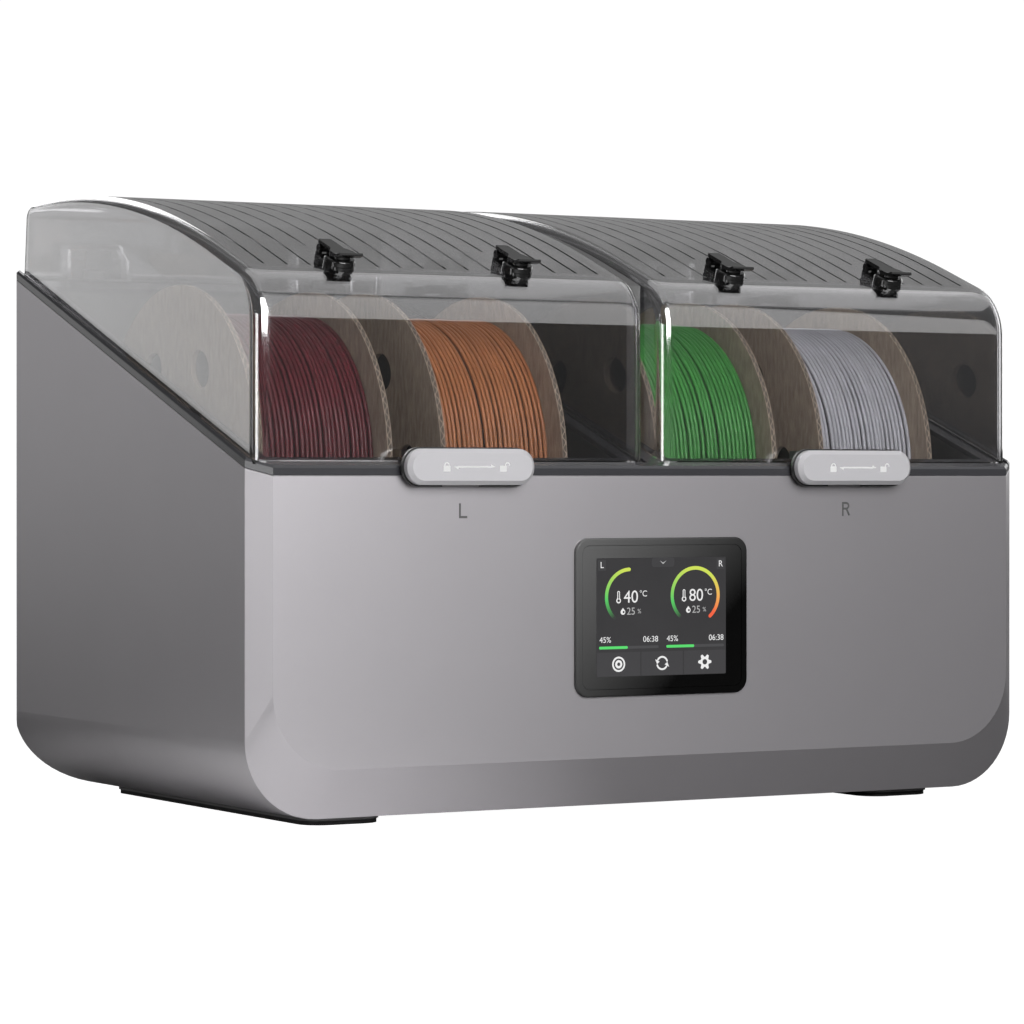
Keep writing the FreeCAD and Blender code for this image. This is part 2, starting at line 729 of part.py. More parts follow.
def spool_reel(x):
    """Cardboard reel glued up from two flanges with oval windows, a core and a hub tube."""
    x0, x1 = x - SPOOL_HALF, x + SPOOL_HALF
    windows = []
    window_count = 6
    for i in range(window_count):
        window = Part.Face(Part.Wire(Part.Ellipse(V(0, 0, 0), 12, 10).toShape()))
        window.rotate(V(0, 0, 0), Y_AXIS, 90)
        window.rotate(V(0, 0, 0), X_AXIS, 90)
        window = window.extrude(X_AXIS * (4 * SPOOL_HALF))
        window.translate(V(-2 * SPOOL_HALF, 0, 61))
        window.rotate(V(0, 0, 0), X_AXIS, 30 + i * 360.0 / window_count)
        window.translate(V(x, SPOOL_Y, SPOOL_Z))
        windows.append(window)
    flanges = [
        rod_x(x0, x0 + FLANGE, SPOOL_Y, SPOOL_Z, SPOOL_R),
        rod_x(x1 - FLANGE, x1, SPOOL_Y, SPOOL_Z, SPOOL_R),
    ]
    windows.append(rod_x(x0 - 1, x1 + 1, SPOOL_Y, SPOOL_Z, SPOOL_BORE_R))
    flanges = [flange.cut(Part.makeCompound(windows)) for flange in flanges]
    tubes = []
    for radius in (CORE_R, SPOOL_BORE_R + CARDBOARD):
        tube = rod_x(x0 + FLANGE, x1 - FLANGE, SPOOL_Y, SPOOL_Z, radius)
        tubes.append(tube.cut(rod_x(x0, x1, SPOOL_Y, SPOOL_Z, radius - CARDBOARD)))
    return Part.makeCompound(flanges + tubes)


def spool_filament(x):
    x0, x1 = x - SPOOL_HALF + FLANGE, x + SPOOL_HALF - FLANGE
    return rod_x(x0, x1, SPOOL_Y, SPOOL_Z, WINDING_R).cut(rod_x(x0, x1, SPOOL_Y, SPOOL_Z, CORE_R))


# ---------------------------------------------------------------- lids
def lid_span(bay):
    side = math.copysign(1, bay)
    return sorted((side * LID_INNER_X, side * LID_OUTER_X))


def lid_form(bay, margin):
    """The lid as a solid block with rounded side edges, moved inwards by margin."""
    x0, x1 = lid_span(bay)
    block = prism(inset(LID_CORNERS, margin), yz, X_AXIS, x0 + margin, x1 - margin)
    side_edges = []
    for edge in block.Edges:
        across = abs(edge.BoundBox.XLength) > 1
        if not across and edge.BoundBox.ZMax > 150:
            side_edges.append(edge)
    return block.makeFillet(LID_EDGE_R - margin, side_edges)


def lid_grooves(bay):
    """Fine grooves that run from front to back over the top of the lid."""
    above_lid = Part.Face(outline(inset(LID_CORNERS, -2), yz))
    groove_floor = Part.Face(outline(inset(LID_CORNERS, GROOVE_DEPTH), yz))
    band = above_lid.cut(groove_floor).extrude(X_AXIS * GROOVE_WIDTH)
    x0, x1 = lid_span(bay)
    middle = (x0 + x1) / 2
    grooves = []
    for i in range(GROOVE_COUNT):
        x = middle + (i - (GROOVE_COUNT - 1) / 2) * GROOVE_PITCH
        blocked = any(abs(x - (bay + offset)) < 12 for offset in PORT_OFFSETS.values())
        start = GROOVE_BEHIND_PORT if blocked else GROOVE_FRONT
        groove = band.copy()
        groove.translate(V(x - GROOVE_WIDTH / 2, 0, 0))
        grooves.append(groove.common(box(x - 5, x + 5, start, GROOVE_REAR, 250, 420)))
    return grooves


def hinge_notch(centre, margin):
    """Space for one hinge at the foot of the lid's rear wall."""
    half = POCKET_HALF + margin
    return box(centre - half, centre + half, POCKET_FRONT - margin, 340, 280, POCKET_TOP + margin)


def port_place(shape, x):
    """Moves a shape from the port's own frame, whose Z stands square on the sloping lid."""
    shape.rotate(V(0, 0, 0), X_AXIS, PORT_TILT)
    shape.translate(V(x, PORT_Y, PORT_Z))
    return shape


def lid_slabs(bay):
    """Blocks that part the lid into its side walls, front, front corner, strips of roof and rear."""
    x0, x1 = lid_span(bay)
    slabs = [box(x0 - 1, x0 + LID_EDGE_R, -1, 360, 150, 420)]
    slabs.append(box(x1 - LID_EDGE_R, x1 + 1, -1, 360, 150, 420))
    x0 += LID_EDGE_R
    x1 -= LID_EDGE_R
    slabs.append(box(x0, x1, -1, LID_SPLITS[0], 150, LID_CORNER_Z))
    slabs.append(box(x0, x1, -1, LID_SPLITS[0], LID_CORNER_Z, 420))
    for start, end in zip(LID_SPLITS[:-1], LID_SPLITS[1:]):
        slabs.append(box(x0, x1, start, end, 150, 420))
    slabs.append(box(x0, x1, LID_SPLITS[-1], 360, 150, 420))
    return slabs


def lid_shell(bay):
    """Clear cover, stored as the touching walls of lid_slabs so that the hollow under it stays free."""
    shell = lid_form(bay, 0).cut(lid_form(bay, LID_WALL)).common(above_rim(LID_LIFT))
    shell = shell.cut(Part.makeCompound(lid_grooves(bay)))
    for offset in PORT_OFFSETS.values():
        hole = port_place(rod_z(0, 0, -20, 20, PORT_STEM_R + 0.2), bay + offset)
        shell = shell.cut(hole)
    walls = []
    notches = []
    for centre in hinge_centres(bay):
        notches.append(hinge_notch(centre, 0))
        walls.append(hinge_notch(centre, LID_WALL).common(lid_form(bay, 0)).common(above_rim(LID_LIFT)))
    shell = shell.multiFuse(walls).cut(Part.makeCompound(notches))
    pieces = []
    for slab in lid_slabs(bay):
        pieces += shell.common(slab).Solids
    return Part.makeCompound(pieces)


def port_nut():
    """Six-sided nut that clamps the port from inside the lid."""
    corner_r = 8.0
    angles = [math.radians(60 * i) for i in range(6)]
    corners = [(corner_r * math.cos(angle), corner_r * math.sin(angle), 0) for angle in angles]
    return prism(corners, xy, Z_AXIS, -6.9, -3.9)


def port_bases(bay, form):
    """Port bodies of one lid: oval plate, ring, stem through the lid, nut inside and hinge ears."""
    bases = []
    for offset in PORT_OFFSETS.values():
        x = bay + offset
        plate_corners = [(-7.5, -9, 6), (7.5, -9, 6), (5, 22.5, 4.5), (-5, 22.5, 4.5)]
        plate = prism(plate_corners, xy, Z_AXIS, -6, PORT_PLATE_TOP)
        ring = rod_z(0, 0, 0, PORT_RING_TOP, PORT_RING_R)
        ring = ring.makeFillet(1.4, [e for e in ring.Edges if e.BoundBox.ZMin > PORT_RING_TOP - 0.1])
        outside = [plate, ring]
        for x0, x1 in ((-FLAP_HALF, -FLAP_EAR_INNER), (FLAP_EAR_INNER, FLAP_HALF)):
            outside.append(box(x0, x1, FLAP_PIN_U - FLAP_KNUCKLE_R, FLAP_PIN_U + 1.4, 0, FLAP_PIN_V))
            outside.append(rod_x(x0, x1, FLAP_PIN_U, FLAP_PIN_V, FLAP_KNUCKLE_R))
        outside = port_place(merge(outside), x).cut(form)
        stem = port_place(rod_z(0, 0, -7.5, 3, PORT_STEM_R), x)
        pin = port_place(rod_x(-3.5, 3.5, FLAP_PIN_U, FLAP_PIN_V, FLAP_PIN_R), x)
        bore = port_place(rod_z(0, 0, -12, 8, PORT_BORE_R), x)
        bases.append(merge([outside, stem, port_place(port_nut(), x), pin]).cut(bore))
    return Part.makeCompound(bases)


def port_flap(x):
    """Small cover over a port: narrow arm, round plug, wide upturned lip and hinge knuckle."""
    top = FLAP_UNDERSIDE + FLAP_THICKNESS
    plan = [
        (-FLAP_HALF, FLAP_PIN_U + 2, 1.2),
        (-FLAP_HALF, 5, 2),
        (-7, 0, 2),
        (-7, -6, 1),
        (7, -6, 1),
        (7, 0, 2),
        (FLAP_HALF, 5, 2),
        (FLAP_HALF, FLAP_PIN_U + 2, 1.2),
    ]
    arm = prism(plan, xy, Z_AXIS, FLAP_UNDERSIDE, top)
    lip_side = [
        (-4.5, FLAP_UNDERSIDE, 0),
        (-8.5, FLAP_UNDERSIDE + 0.6, 3),
        (-12.2, 9.8, 0.5),
        (-11.4, 11.2, 0.5),
        (-8, top + 0.4, 3),
        (-4.5, top, 0),
    ]
    lip = prism(lip_side, yz, X_AXIS, -7, 7)
    plug = rod_z(0, 0, PORT_RING_TOP + 0.2, FLAP_UNDERSIDE + 0.5, PORT_STEM_R)
    knuckle = rod_x(-FLAP_KNUCKLE_HALF, FLAP_KNUCKLE_HALF, FLAP_PIN_U, FLAP_PIN_V, FLAP_KNUCKLE_R)
    u0 = FLAP_PIN_U - 1.8
    u1 = FLAP_PIN_U + 1.8
    web = box(-FLAP_KNUCKLE_HALF, FLAP_KNUCKLE_HALF, u0, u1, FLAP_PIN_V, top - 0.5)
    flap = merge([arm, lip, plug, knuckle, web])
    flap = flap.cut(rod_x(-10, 10, FLAP_PIN_U, FLAP_PIN_V, FLAP_PIN_R + RUNNING_GAP))
    return port_place(flap, x)


# ---------------------------------------------------------------- hinges
def hinge_centres(bay):
    return [bay - HINGE_OFFSET, bay + HINGE_OFFSET]


def hinge_brackets():
    """Fixed knuckles that stand on the rear of the trim frame."""
    brackets = []
    for bay in BAYS.values():
        for centre in hinge_centres(bay):
            for side in (-1, 1):
                x0, x1 = sorted((centre + side * (LEAF_HALF + HINGE_GAP), centre + side * BRACKET_END))
                foot = box(x0, x1, HINGE_Y - 4, HINGE_Y + 4, 290, HINGE_Z).common(above_rim(SHELF_HEIGHT))
                knuckle = rod_x(x0, x1, HINGE_Y, HINGE_Z, KNUCKLE_R)
                bracket = merge([foot, knuckle])
                brackets.append(bracket.cut(rod_x(x0 - 1, x1 + 1, HINGE_Y, HINGE_Z, HINGE_PIN_R)))
    return Part.makeCompound(brackets)


def hinge_pins():
    pins = []
    for bay in BAYS.values():
        for centre in hinge_centres(bay):
            reach = BRACKET_END + 1
            pins.append(rod_x(centre - reach, centre + reach, HINGE_Y, HINGE_Z, HINGE_PIN_R))
    return Part.makeCompound(pins)


def hinge_leaves(bay):
    """Moving knuckles with the plates that hold them to the lid, inside its notches."""
    leaves = []
    for centre in hinge_centres(bay):
        x0, x1 = centre - LEAF_HALF, centre + LEAF_HALF
        plate = box(x0, x1, POCKET_FRONT, POCKET_FRONT + 2, HINGE_Z - 3, POCKET_TOP - 1)
        arm = box(x0, x1, POCKET_FRONT, HINGE_Y, HINGE_Z - 2, HINGE_Z + 2)
        knuckle = rod_x(x0, x1, HINGE_Y, HINGE_Z, KNUCKLE_R)
        leaf = merge([plate, arm, knuckle])
        leaves.append(leaf.cut(rod_x(x0 - 5, x1 + 5, HINGE_Y, HINGE_Z, HINGE_PIN_R + RUNNING_GAP)))
    return Part.makeCompound(leaves)


# ---------------------------------------------------------------- latches
RAIL_HALF = 22.0
RAIL_Z = 195.6


def latch_guide(bay):
    """Black base on the lid's front edge, with the T-shaped rail that the slider runs on."""
    plate = rounded_plate(LATCH_HALF + 0.8, LATCH_HEIGHT / 2 + 0.8, bay, LATCH_Z, -4.2, -2.2, 10.3)
    window = box(bay + KEEPER_X0 - 1.5, bay + KEEPER_X1 + 13, -6, 0, 180, 191.2)
    shelf = box(bay - 34, bay + 34, -3, LID_FRONT, 196.0, 200.4)
    neck = box(bay - RAIL_HALF, bay + RAIL_HALF, -7.4, -3, RAIL_Z - 1.4, RAIL_Z + 1.4)
    head = box(bay - RAIL_HALF, bay + RAIL_HALF, -8, -6.6, RAIL_Z - 2.8, RAIL_Z + 2.8)
    return merge([plate.cut(window), shelf, neck, head])


def latch_slider(bay):
    """Grip that slides towards the left to lock; its hook then lies under the keeper."""
    front = rounded_plate(LATCH_HALF, LATCH_HEIGHT / 2, bay, LATCH_Z, LATCH_FRONT, LATCH_BACK, 9.6)
    front_edges = [e for e in front.Edges if max(v.Y for v in e.Vertexes) < LATCH_FRONT + 0.1]
    front = front.makeChamfer(LATCH_BEVEL, front_edges)
    slack = 0.4
    x0 = bay - RAIL_HALF - slack
    x1 = bay + RAIL_HALF + slack + LATCH_TRAVEL
    neck = box(x0, x1, -8.4, 0, RAIL_Z - 1.4 - slack, RAIL_Z + 1.4 + slack)
    head = box(x0, x1, -8.4, -6.6 + slack, RAIL_Z - 2.8 - slack, RAIL_Z + 2.8 + slack)
    front = front.cut(neck).cut(head)
    hook = box(bay + KEEPER_X1 + 2, bay + KEEPER_X1 + 11, -5.5, -0.8, 183.4, 186.8)
    return front.fuse(hook)


# ---------------------------------------------------------------- build
def build():
    os.makedirs("parts", exist_ok=True)
    save("outer_shell", outer_shell())
    save("foot_rails", foot_rails())
    save("foot_pads", foot_pads())
    save("case_screws", case_screws())
    save("trim_frame", trim_frame())
    save("gaskets", gaskets())
    save("divider", divider())
    save("display_bezel", display_bezel())
    save("display_glass", display_glass())
    save("display_panel", display_panel())
    save("display_board", display_board())
    save("control_board", control_board())
    save("power_supply", power_supply())
    save("rear_panel", rear_panel())
    save("panel_screws", panel_screws())
    save("inlet_socket", inlet_socket())
    save("inlet_pins", inlet_pins())
    save("switch_frame", switch_frame())
    save("switch_rocker", switch_rocker())
    save("heaters", heaters())
    save("fan_frames", fan_frames())
    save("humidity_sensors", humidity_sensors())
    save("roller_shafts", roller_shafts())
    save("roller_cradles", roller_cradles())
    save("hinge_brackets", hinge_brackets())
    save("hinge_pins", hinge_pins())
    for side, bay in BAYS.items():
        form = lid_form(bay, 0)
        save("tub_" + side, tub(bay))
        save("fan_rotor_" + side, fan_rotor(bay))
        save("lid_shell_" + side, lid_shell(bay))
        save("hinge_leaves_" + side, hinge_leaves(bay))
        save("port_bases_" + side, port_bases(bay, form))
        save("latch_guide_" + side, latch_guide(bay))
        save("latch_slider_" + side, latch_slider(bay))
        for name, offset in PORT_OFFSETS.items():
            save("port_flap_" + side + "_" + name, port_flap(bay + offset))
        for name, offset in SPOOL_OFFSETS.items():
            x = bay + offset
            save("spool_reel_" + side + "_" + name, spool_reel(x))
            save("spool_filament_" + side + "_" + name, spool_filament(x))
            for place, y in ROLLER_YS.items():
                save("roller_" + side + "_" + name + "_" + place, roller(x, y))


build()
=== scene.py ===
import json
import math
import random

import bmesh
import bpy
from mathutils import Matrix, Vector

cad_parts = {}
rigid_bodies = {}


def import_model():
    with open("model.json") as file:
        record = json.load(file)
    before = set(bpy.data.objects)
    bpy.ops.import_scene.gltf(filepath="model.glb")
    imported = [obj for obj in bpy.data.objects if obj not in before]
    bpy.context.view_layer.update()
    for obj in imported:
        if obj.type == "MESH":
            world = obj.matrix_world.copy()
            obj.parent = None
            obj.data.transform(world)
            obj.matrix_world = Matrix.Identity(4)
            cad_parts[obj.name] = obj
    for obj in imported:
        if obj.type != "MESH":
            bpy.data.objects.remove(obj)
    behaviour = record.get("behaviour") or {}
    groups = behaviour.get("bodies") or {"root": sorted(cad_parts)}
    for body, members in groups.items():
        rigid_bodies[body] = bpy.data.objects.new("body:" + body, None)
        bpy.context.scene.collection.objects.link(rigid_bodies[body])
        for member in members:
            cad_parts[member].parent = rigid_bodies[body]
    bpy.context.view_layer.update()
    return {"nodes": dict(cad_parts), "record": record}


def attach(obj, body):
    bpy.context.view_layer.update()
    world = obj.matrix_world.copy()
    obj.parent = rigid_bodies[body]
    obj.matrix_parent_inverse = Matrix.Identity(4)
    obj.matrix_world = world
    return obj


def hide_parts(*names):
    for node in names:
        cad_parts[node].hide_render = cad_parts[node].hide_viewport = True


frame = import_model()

MM = 0.001
NODES = frame["nodes"]
LINKED = bpy.context.scene.collection.objects

# ---------------------------------------------------------------- sizes in mm
# x and y run from the middle of the front face, z from the table.
FOOTPRINT_CENTRE = 155.4
BAYS = {"left": -125.0, "right": 125.0}
SPOOL_OFFSETS = {"a": -66.0, "b": 44.0}
SPOOL_Y = 133.0
SPOOL_Z = 191.7
SPOOL_R = 100.0
SPOOL_HALF = 40.0
FLANGE = 3.0
WINDING_R = 85.0
CORE_R = 50.0
STRAND_R = 1.2
STRAND_COUNT = 26
STRAND_STEPS = 144
STRAND_SIDES = 8
STRAND_LEAST_GAP = 0.15
STRAND_SPREAD = 0.4
STRAND_SWING = 0.22
WINDING_PLAY = 0.3
RIM_FRONT = 186.6
RIM_SLOPE = 0.3655
LID_LIFT = 4.2
LID_INNER_X = 5.5
LID_OUTER_X = 246.0
LID_WALL = 2.6
LID_EDGE_R = 7.0
LID_FRONT = 7.6
LID_REAR = ((317.3, 347.8), (341.3, 100.0))
LID_FOOT_Z = 100.0
LID_BROW = (LID_FRONT, 289.8)
LID_CROWN = (168.25, 350.8)
LID_BENDS = ((30.0, 16), (600.0, 30), (10.0, 12))
ROOF_ABOVE = 280.0
GROOVE_COUNT = 16
GROOVE_PITCH = 13.8
GROOVE_WIDTH = 1.5
GROOVE_DEPTH = 0.8
GROOVE_FRONT = 31.0
GROOVE_REAR = 289.0
GROOVE_BEHIND_PORT = 64.0
GROOVE_WALL = 0.02
PORT_OFFSETS = {"a": -60.0, "b": 50.0}
PORT_HALF = 12.0
HINGE_OFFSET = 75.0
NOTCH_HALF = 18.0
NOTCH_FRONT = 309.5
NOTCH_REAR = 345.0
NOTCH_TOP = 321.5
NOTCH_BASE = 285.0
NOTCH_WALL_REAR = 318.3
LATCH_FRONT = -10.5
LATCH_Z = 191.0
GLASS_FRONT = -2.0
MARK_LIFT = 0.03


def at(x, y, z):
    """A point in mm, measured from the middle of the front face, in the frame's metres."""
    return Vector((x, y - FOOTPRINT_CENTRE, z)) * MM


def rim(y):
    """Height of the case's sloping rim at depth y."""
    return RIM_FRONT + RIM_SLOPE * y


# ---------------------------------------------------------------- node material helpers
class Shader:
    """A node material built around one Principled shader."""

    def __init__(self, name):
        self.material = bpy.data.materials.new(name)
        self.material.use_nodes = True
        self.nodes = self.material.node_tree.nodes
        self.links = self.material.node_tree.links
        self.bsdf = self.nodes["Principled BSDF"]
        self.coords = self.add("ShaderNodeTexCoord").outputs["Object"]

    def add(self, kind, **values):
        node = self.nodes.new(kind)
        for key, value in values.items():
            setattr(node, key, value)
        return node

    def link(self, output, target):
        self.links.new(output, target)

    def put(self, **values):
        """Sets constants straight on the shader's sockets."""
        for key, value in values.items():
            self.bsdf.inputs[key.replace("_", " ")].default_value = value

    def noise(self, scale, detail=2.0, roughness=0.5, stretch=(1, 1, 1)):
        mapping = self.add("ShaderNodeMapping")
        mapping.inputs["Scale"].default_value = stretch
        self.link(self.coords, mapping.inputs["Vector"])
        texture = self.add("ShaderNodeTexNoise")
        texture.inputs["Scale"].default_value = scale
        texture.inputs["Detail"].default_value = detail
        texture.inputs["Roughness"].default_value = roughness
        self.link(mapping.outputs["Vector"], texture.inputs["Vector"])
        return texture.outputs["Fac"]

    def ramp(self, factor, stops):
        node = self.add("ShaderNodeValToRGB")
        elements = node.color_ramp.elements
        while len(elements) < len(stops):
            elements.new(0.5)
        for element, (position, colour) in zip(elements, stops):
            element.position = position
            element.color = (*colour, 1)
        self.link(factor, node.inputs["Fac"])
        return node.outputs["Color"]

    def math(self, operation, a, b=0.0, c=0.0):
        node = self.add("ShaderNodeMath", operation=operation)
        for socket, value in zip(node.inputs, (a, b, c)):
            if isinstance(value, (int, float)):
                socket.default_value = value
            else:
                self.link(value, socket)
        return node.outputs[0]

    def axis(self, index):
        node = self.add("ShaderNodeSeparateXYZ")
        self.link(self.coords, node.inputs[0])
        return node.outputs[index]

    def bump(self, height, strength=0.2, distance=0.0002):
        node = self.add("ShaderNodeBump")
        node.inputs["Strength"].default_value = strength
        node.inputs["Distance"].default_value = distance
        self.link(height, node.inputs["Height"])
        self.link(node.outputs["Normal"], self.bsdf.inputs["Normal"])

    def base(self, colour):
        self.link(colour, self.bsdf.inputs["Base Color"])

    def rough(self, value):
        self.link(value, self.bsdf.inputs["Roughness"])


def grey(value):
    return (value, value, value)


def shade(colour, factor):
    return tuple(min(1.0, c * factor) for c in colour)


FINE_GRAIN = 900.0


def plastic(name, colour, roughness, variation=0.06, bump=0.08, scale=FINE_GRAIN, metallic=0.0):
    """Moulded plastic or paint: a fine grain in colour, gloss and height."""
    shader = Shader(name)
    grain = shader.noise(scale)
    cloud = shader.noise(14.0, detail=3.0)
    tones = [(0.3, shade(colour, 1 - variation)), (0.7, shade(colour, 1 + variation))]
    shader.base(shader.ramp(cloud, tones))
    shader.rough(shader.math("MULTIPLY_ADD", grain, roughness * 0.2, roughness * 0.9))
    shader.bump(grain, bump)
    shader.put(Metallic=metallic)
    return shader.material


LID_TINT = (0.69, 0.685, 0.70)
LID_LETS_LIGHT = 0.74
LID_BAY_X = 0.125
LID_CORNER_X = 0.1125
LID_CORNER_FADE = 140.0
LID_CORNER_BLUR = 0.07


def lid_plastic(name, tint, roughness, coat):
    """Clear smoke plastic with a hard glossy coat, blurred in a narrow band at its upright corners."""
    shader = Shader(name)
    cloud = shader.noise(6.0)
    shader.base(shader.ramp(cloud, [(0.3, tint), (0.7, shade(tint, 1.03))]))
    off_middle = shader.math("SUBTRACT", shader.math("ABSOLUTE", shader.axis(0)), LID_BAY_X)
    from_corner = shader.math("SUBTRACT", shader.math("ABSOLUTE", off_middle), LID_CORNER_X)
    near = shader.math("MULTIPLY_ADD", shader.math("ABSOLUTE", from_corner), -LID_CORNER_FADE, 1.0)
    shader.rough(shader.math("MULTIPLY_ADD", shader.math("MAXIMUM", near, 0.0), LID_CORNER_BLUR,
                             shader.math("MULTIPLY_ADD", cloud, 0.01, roughness)))
    shader.put(Transmission_Weight=1.0, IOR=1.45, Specular_IOR_Level=coat, Coat_Weight=coat, Coat_IOR=2.0,
               Coat_Roughness=0.03)
    path = shader.add("ShaderNodeLightPath")
    solid = shader.math("MULTIPLY_ADD", path.outputs["Is Shadow Ray"], -LID_LETS_LIGHT, 1.0)
    shader.link(solid, shader.bsdf.inputs["Alpha"])
    return shader.material


CARD_DARK = (0.26, 0.205, 0.155)
CARD_LIGHT = (0.42, 0.34, 0.26)
FLUTES = 95
FLUTE_HEIGHT = 0.0009
FLUTE_HALF = 0.00032
CORE_LAYER_HALF = 0.00115
RIM_START = (SPOOL_R - 0.15) * MM


def cardboard(name, spool_x):
    """Brown card; the flange rims show the wavy layer between the two faces, with painted shade in the
    hollows beside it.
    """
    shader = Shader(name)
    fibres = shader.noise(420.0, detail=6.0, stretch=(1, 1, 0.25))
    card = shader.ramp(fibres, [(0.3, CARD_DARK), (0.7, CARD_LIGHT)])
    dy = shader.math("SUBTRACT", shader.axis(1), at(0, SPOOL_Y, 0).y)
    dz = shader.math("SUBTRACT", shader.axis(2), SPOOL_Z * MM)
    square = shader.math("ADD", shader.math("MULTIPLY", dy, dy), shader.math("MULTIPLY", dz, dz))
    on_rim = shader.math("GREATER_THAN", shader.math("SQRT", square), RIM_START)
    turn = shader.math("ARCTAN2", dy, dz)
    wave = shader.math("SINE", shader.math("MULTIPLY", turn, FLUTES))
    across = shader.math("ABSOLUTE", shader.math("SUBTRACT", shader.axis(0), spool_x * MM))
    depth = shader.math("SUBTRACT", across, (SPOOL_HALF - FLANGE / 2) * MM)
    flute = shader.math("MULTIPLY", wave, FLUTE_HEIGHT)
    line = shader.math("ABSOLUTE", shader.math("SUBTRACT", depth, flute))
    hollow = shader.math("GREATER_THAN", line, FLUTE_HALF)
    between = shader.math("LESS_THAN", shader.math("ABSOLUTE", depth), CORE_LAYER_HALF)
    # painted shade: the hollows of the fluted layer on the rim are drawn near-black
    dark = shader.math("MULTIPLY", on_rim, shader.math("MULTIPLY", hollow, between))
    mix = shader.add("ShaderNodeMix", data_type="RGBA")
    shader.link(dark, mix.inputs["Factor"])
    shader.link(card, mix.inputs["A"])
    mix.inputs["B"].default_value = (*shade(CARD_DARK, 0.3), 1)
    shader.base(mix.outputs["Result"])
    shader.rough(shader.math("MULTIPLY_ADD", fibres, 0.1, 0.8))
    shader.bump(fibres, 0.3)
    return shader.material


# Slope and start of the reflection painted into the cover glass's colour.
GLASS_PAINTED_SHEEN = (5.2, -0.10)


def cover_glass(name):
    """Black cover with a reflection painted into its base colour, fading from the upper left to the lower
    right.
    """
    shader = Shader(name)
    slope = shader.math("SUBTRACT", shader.axis(2), shader.axis(0))
    factor = shader.math("MULTIPLY_ADD", slope, *GLASS_PAINTED_SHEEN)
    grain = shader.noise(FINE_GRAIN)
    painted_sheen_stops = [(0.25, grey(0.001)), (0.95, grey(0.07))]
    shader.base(shader.ramp(shader.math("MULTIPLY_ADD", grain, 0.02, factor), painted_sheen_stops))
    shader.rough(shader.math("MULTIPLY_ADD", grain, 0.04, 0.22))
    shader.put(Specular_IOR_Level=0.12)
    return shader.material


def filament(name, colour):
    """Satin plastic strand."""
    shader = Shader(name)
    cloud = shader.noise(60.0)
    shader.base(shader.ramp(cloud, [(0.3, shade(colour, 0.85)), (0.7, colour)]))
    shader.rough(shader.math("MULTIPLY_ADD", cloud, 0.1, 0.32))
    return shader.material


def brushed(name, colour, roughness=0.3):
    """Metal with fine lines along x."""
    shader = Shader(name)
    lines = shader.noise(500.0, stretch=(0.05, 1, 1))
    shader.base(shader.ramp(lines, [(0.3, shade(colour, 0.9)), (0.7, colour)]))
    shader.rough(shader.math("MULTIPLY_ADD", lines, 0.15, roughness))
    shader.put(Metallic=1.0)
    return shader.material


def glow(name, stops, turn_centre=None, strength=1.0):
    """Lit element; its colour follows the angle round turn_centre, or else a faint noise."""
    shader = Shader(name)
    if turn_centre:
        dx = shader.math("SUBTRACT", shader.axis(0), turn_centre[0] * MM)
        dz = shader.math("SUBTRACT", shader.axis(2), turn_centre[1] * MM)
        factor = shader.math("MULTIPLY_ADD", shader.math("ARCTAN2", dx, dz), 0.5 / math.pi, 0.5)
    else:
        factor = shader.noise(40.0)
    shader.link(shader.ramp(factor, stops), shader.bsdf.inputs["Emission Color"])
    shader.put(Emission_Strength=strength, Roughness=0.15, Base_Color=(*grey(0.005), 1))
    return shader.material


def lit(name, colour, strength=1.0):
    """Lit element of one colour."""
    return glow(name, [(0.3, shade(colour, 0.97)), (0.7, colour)], None, strength)


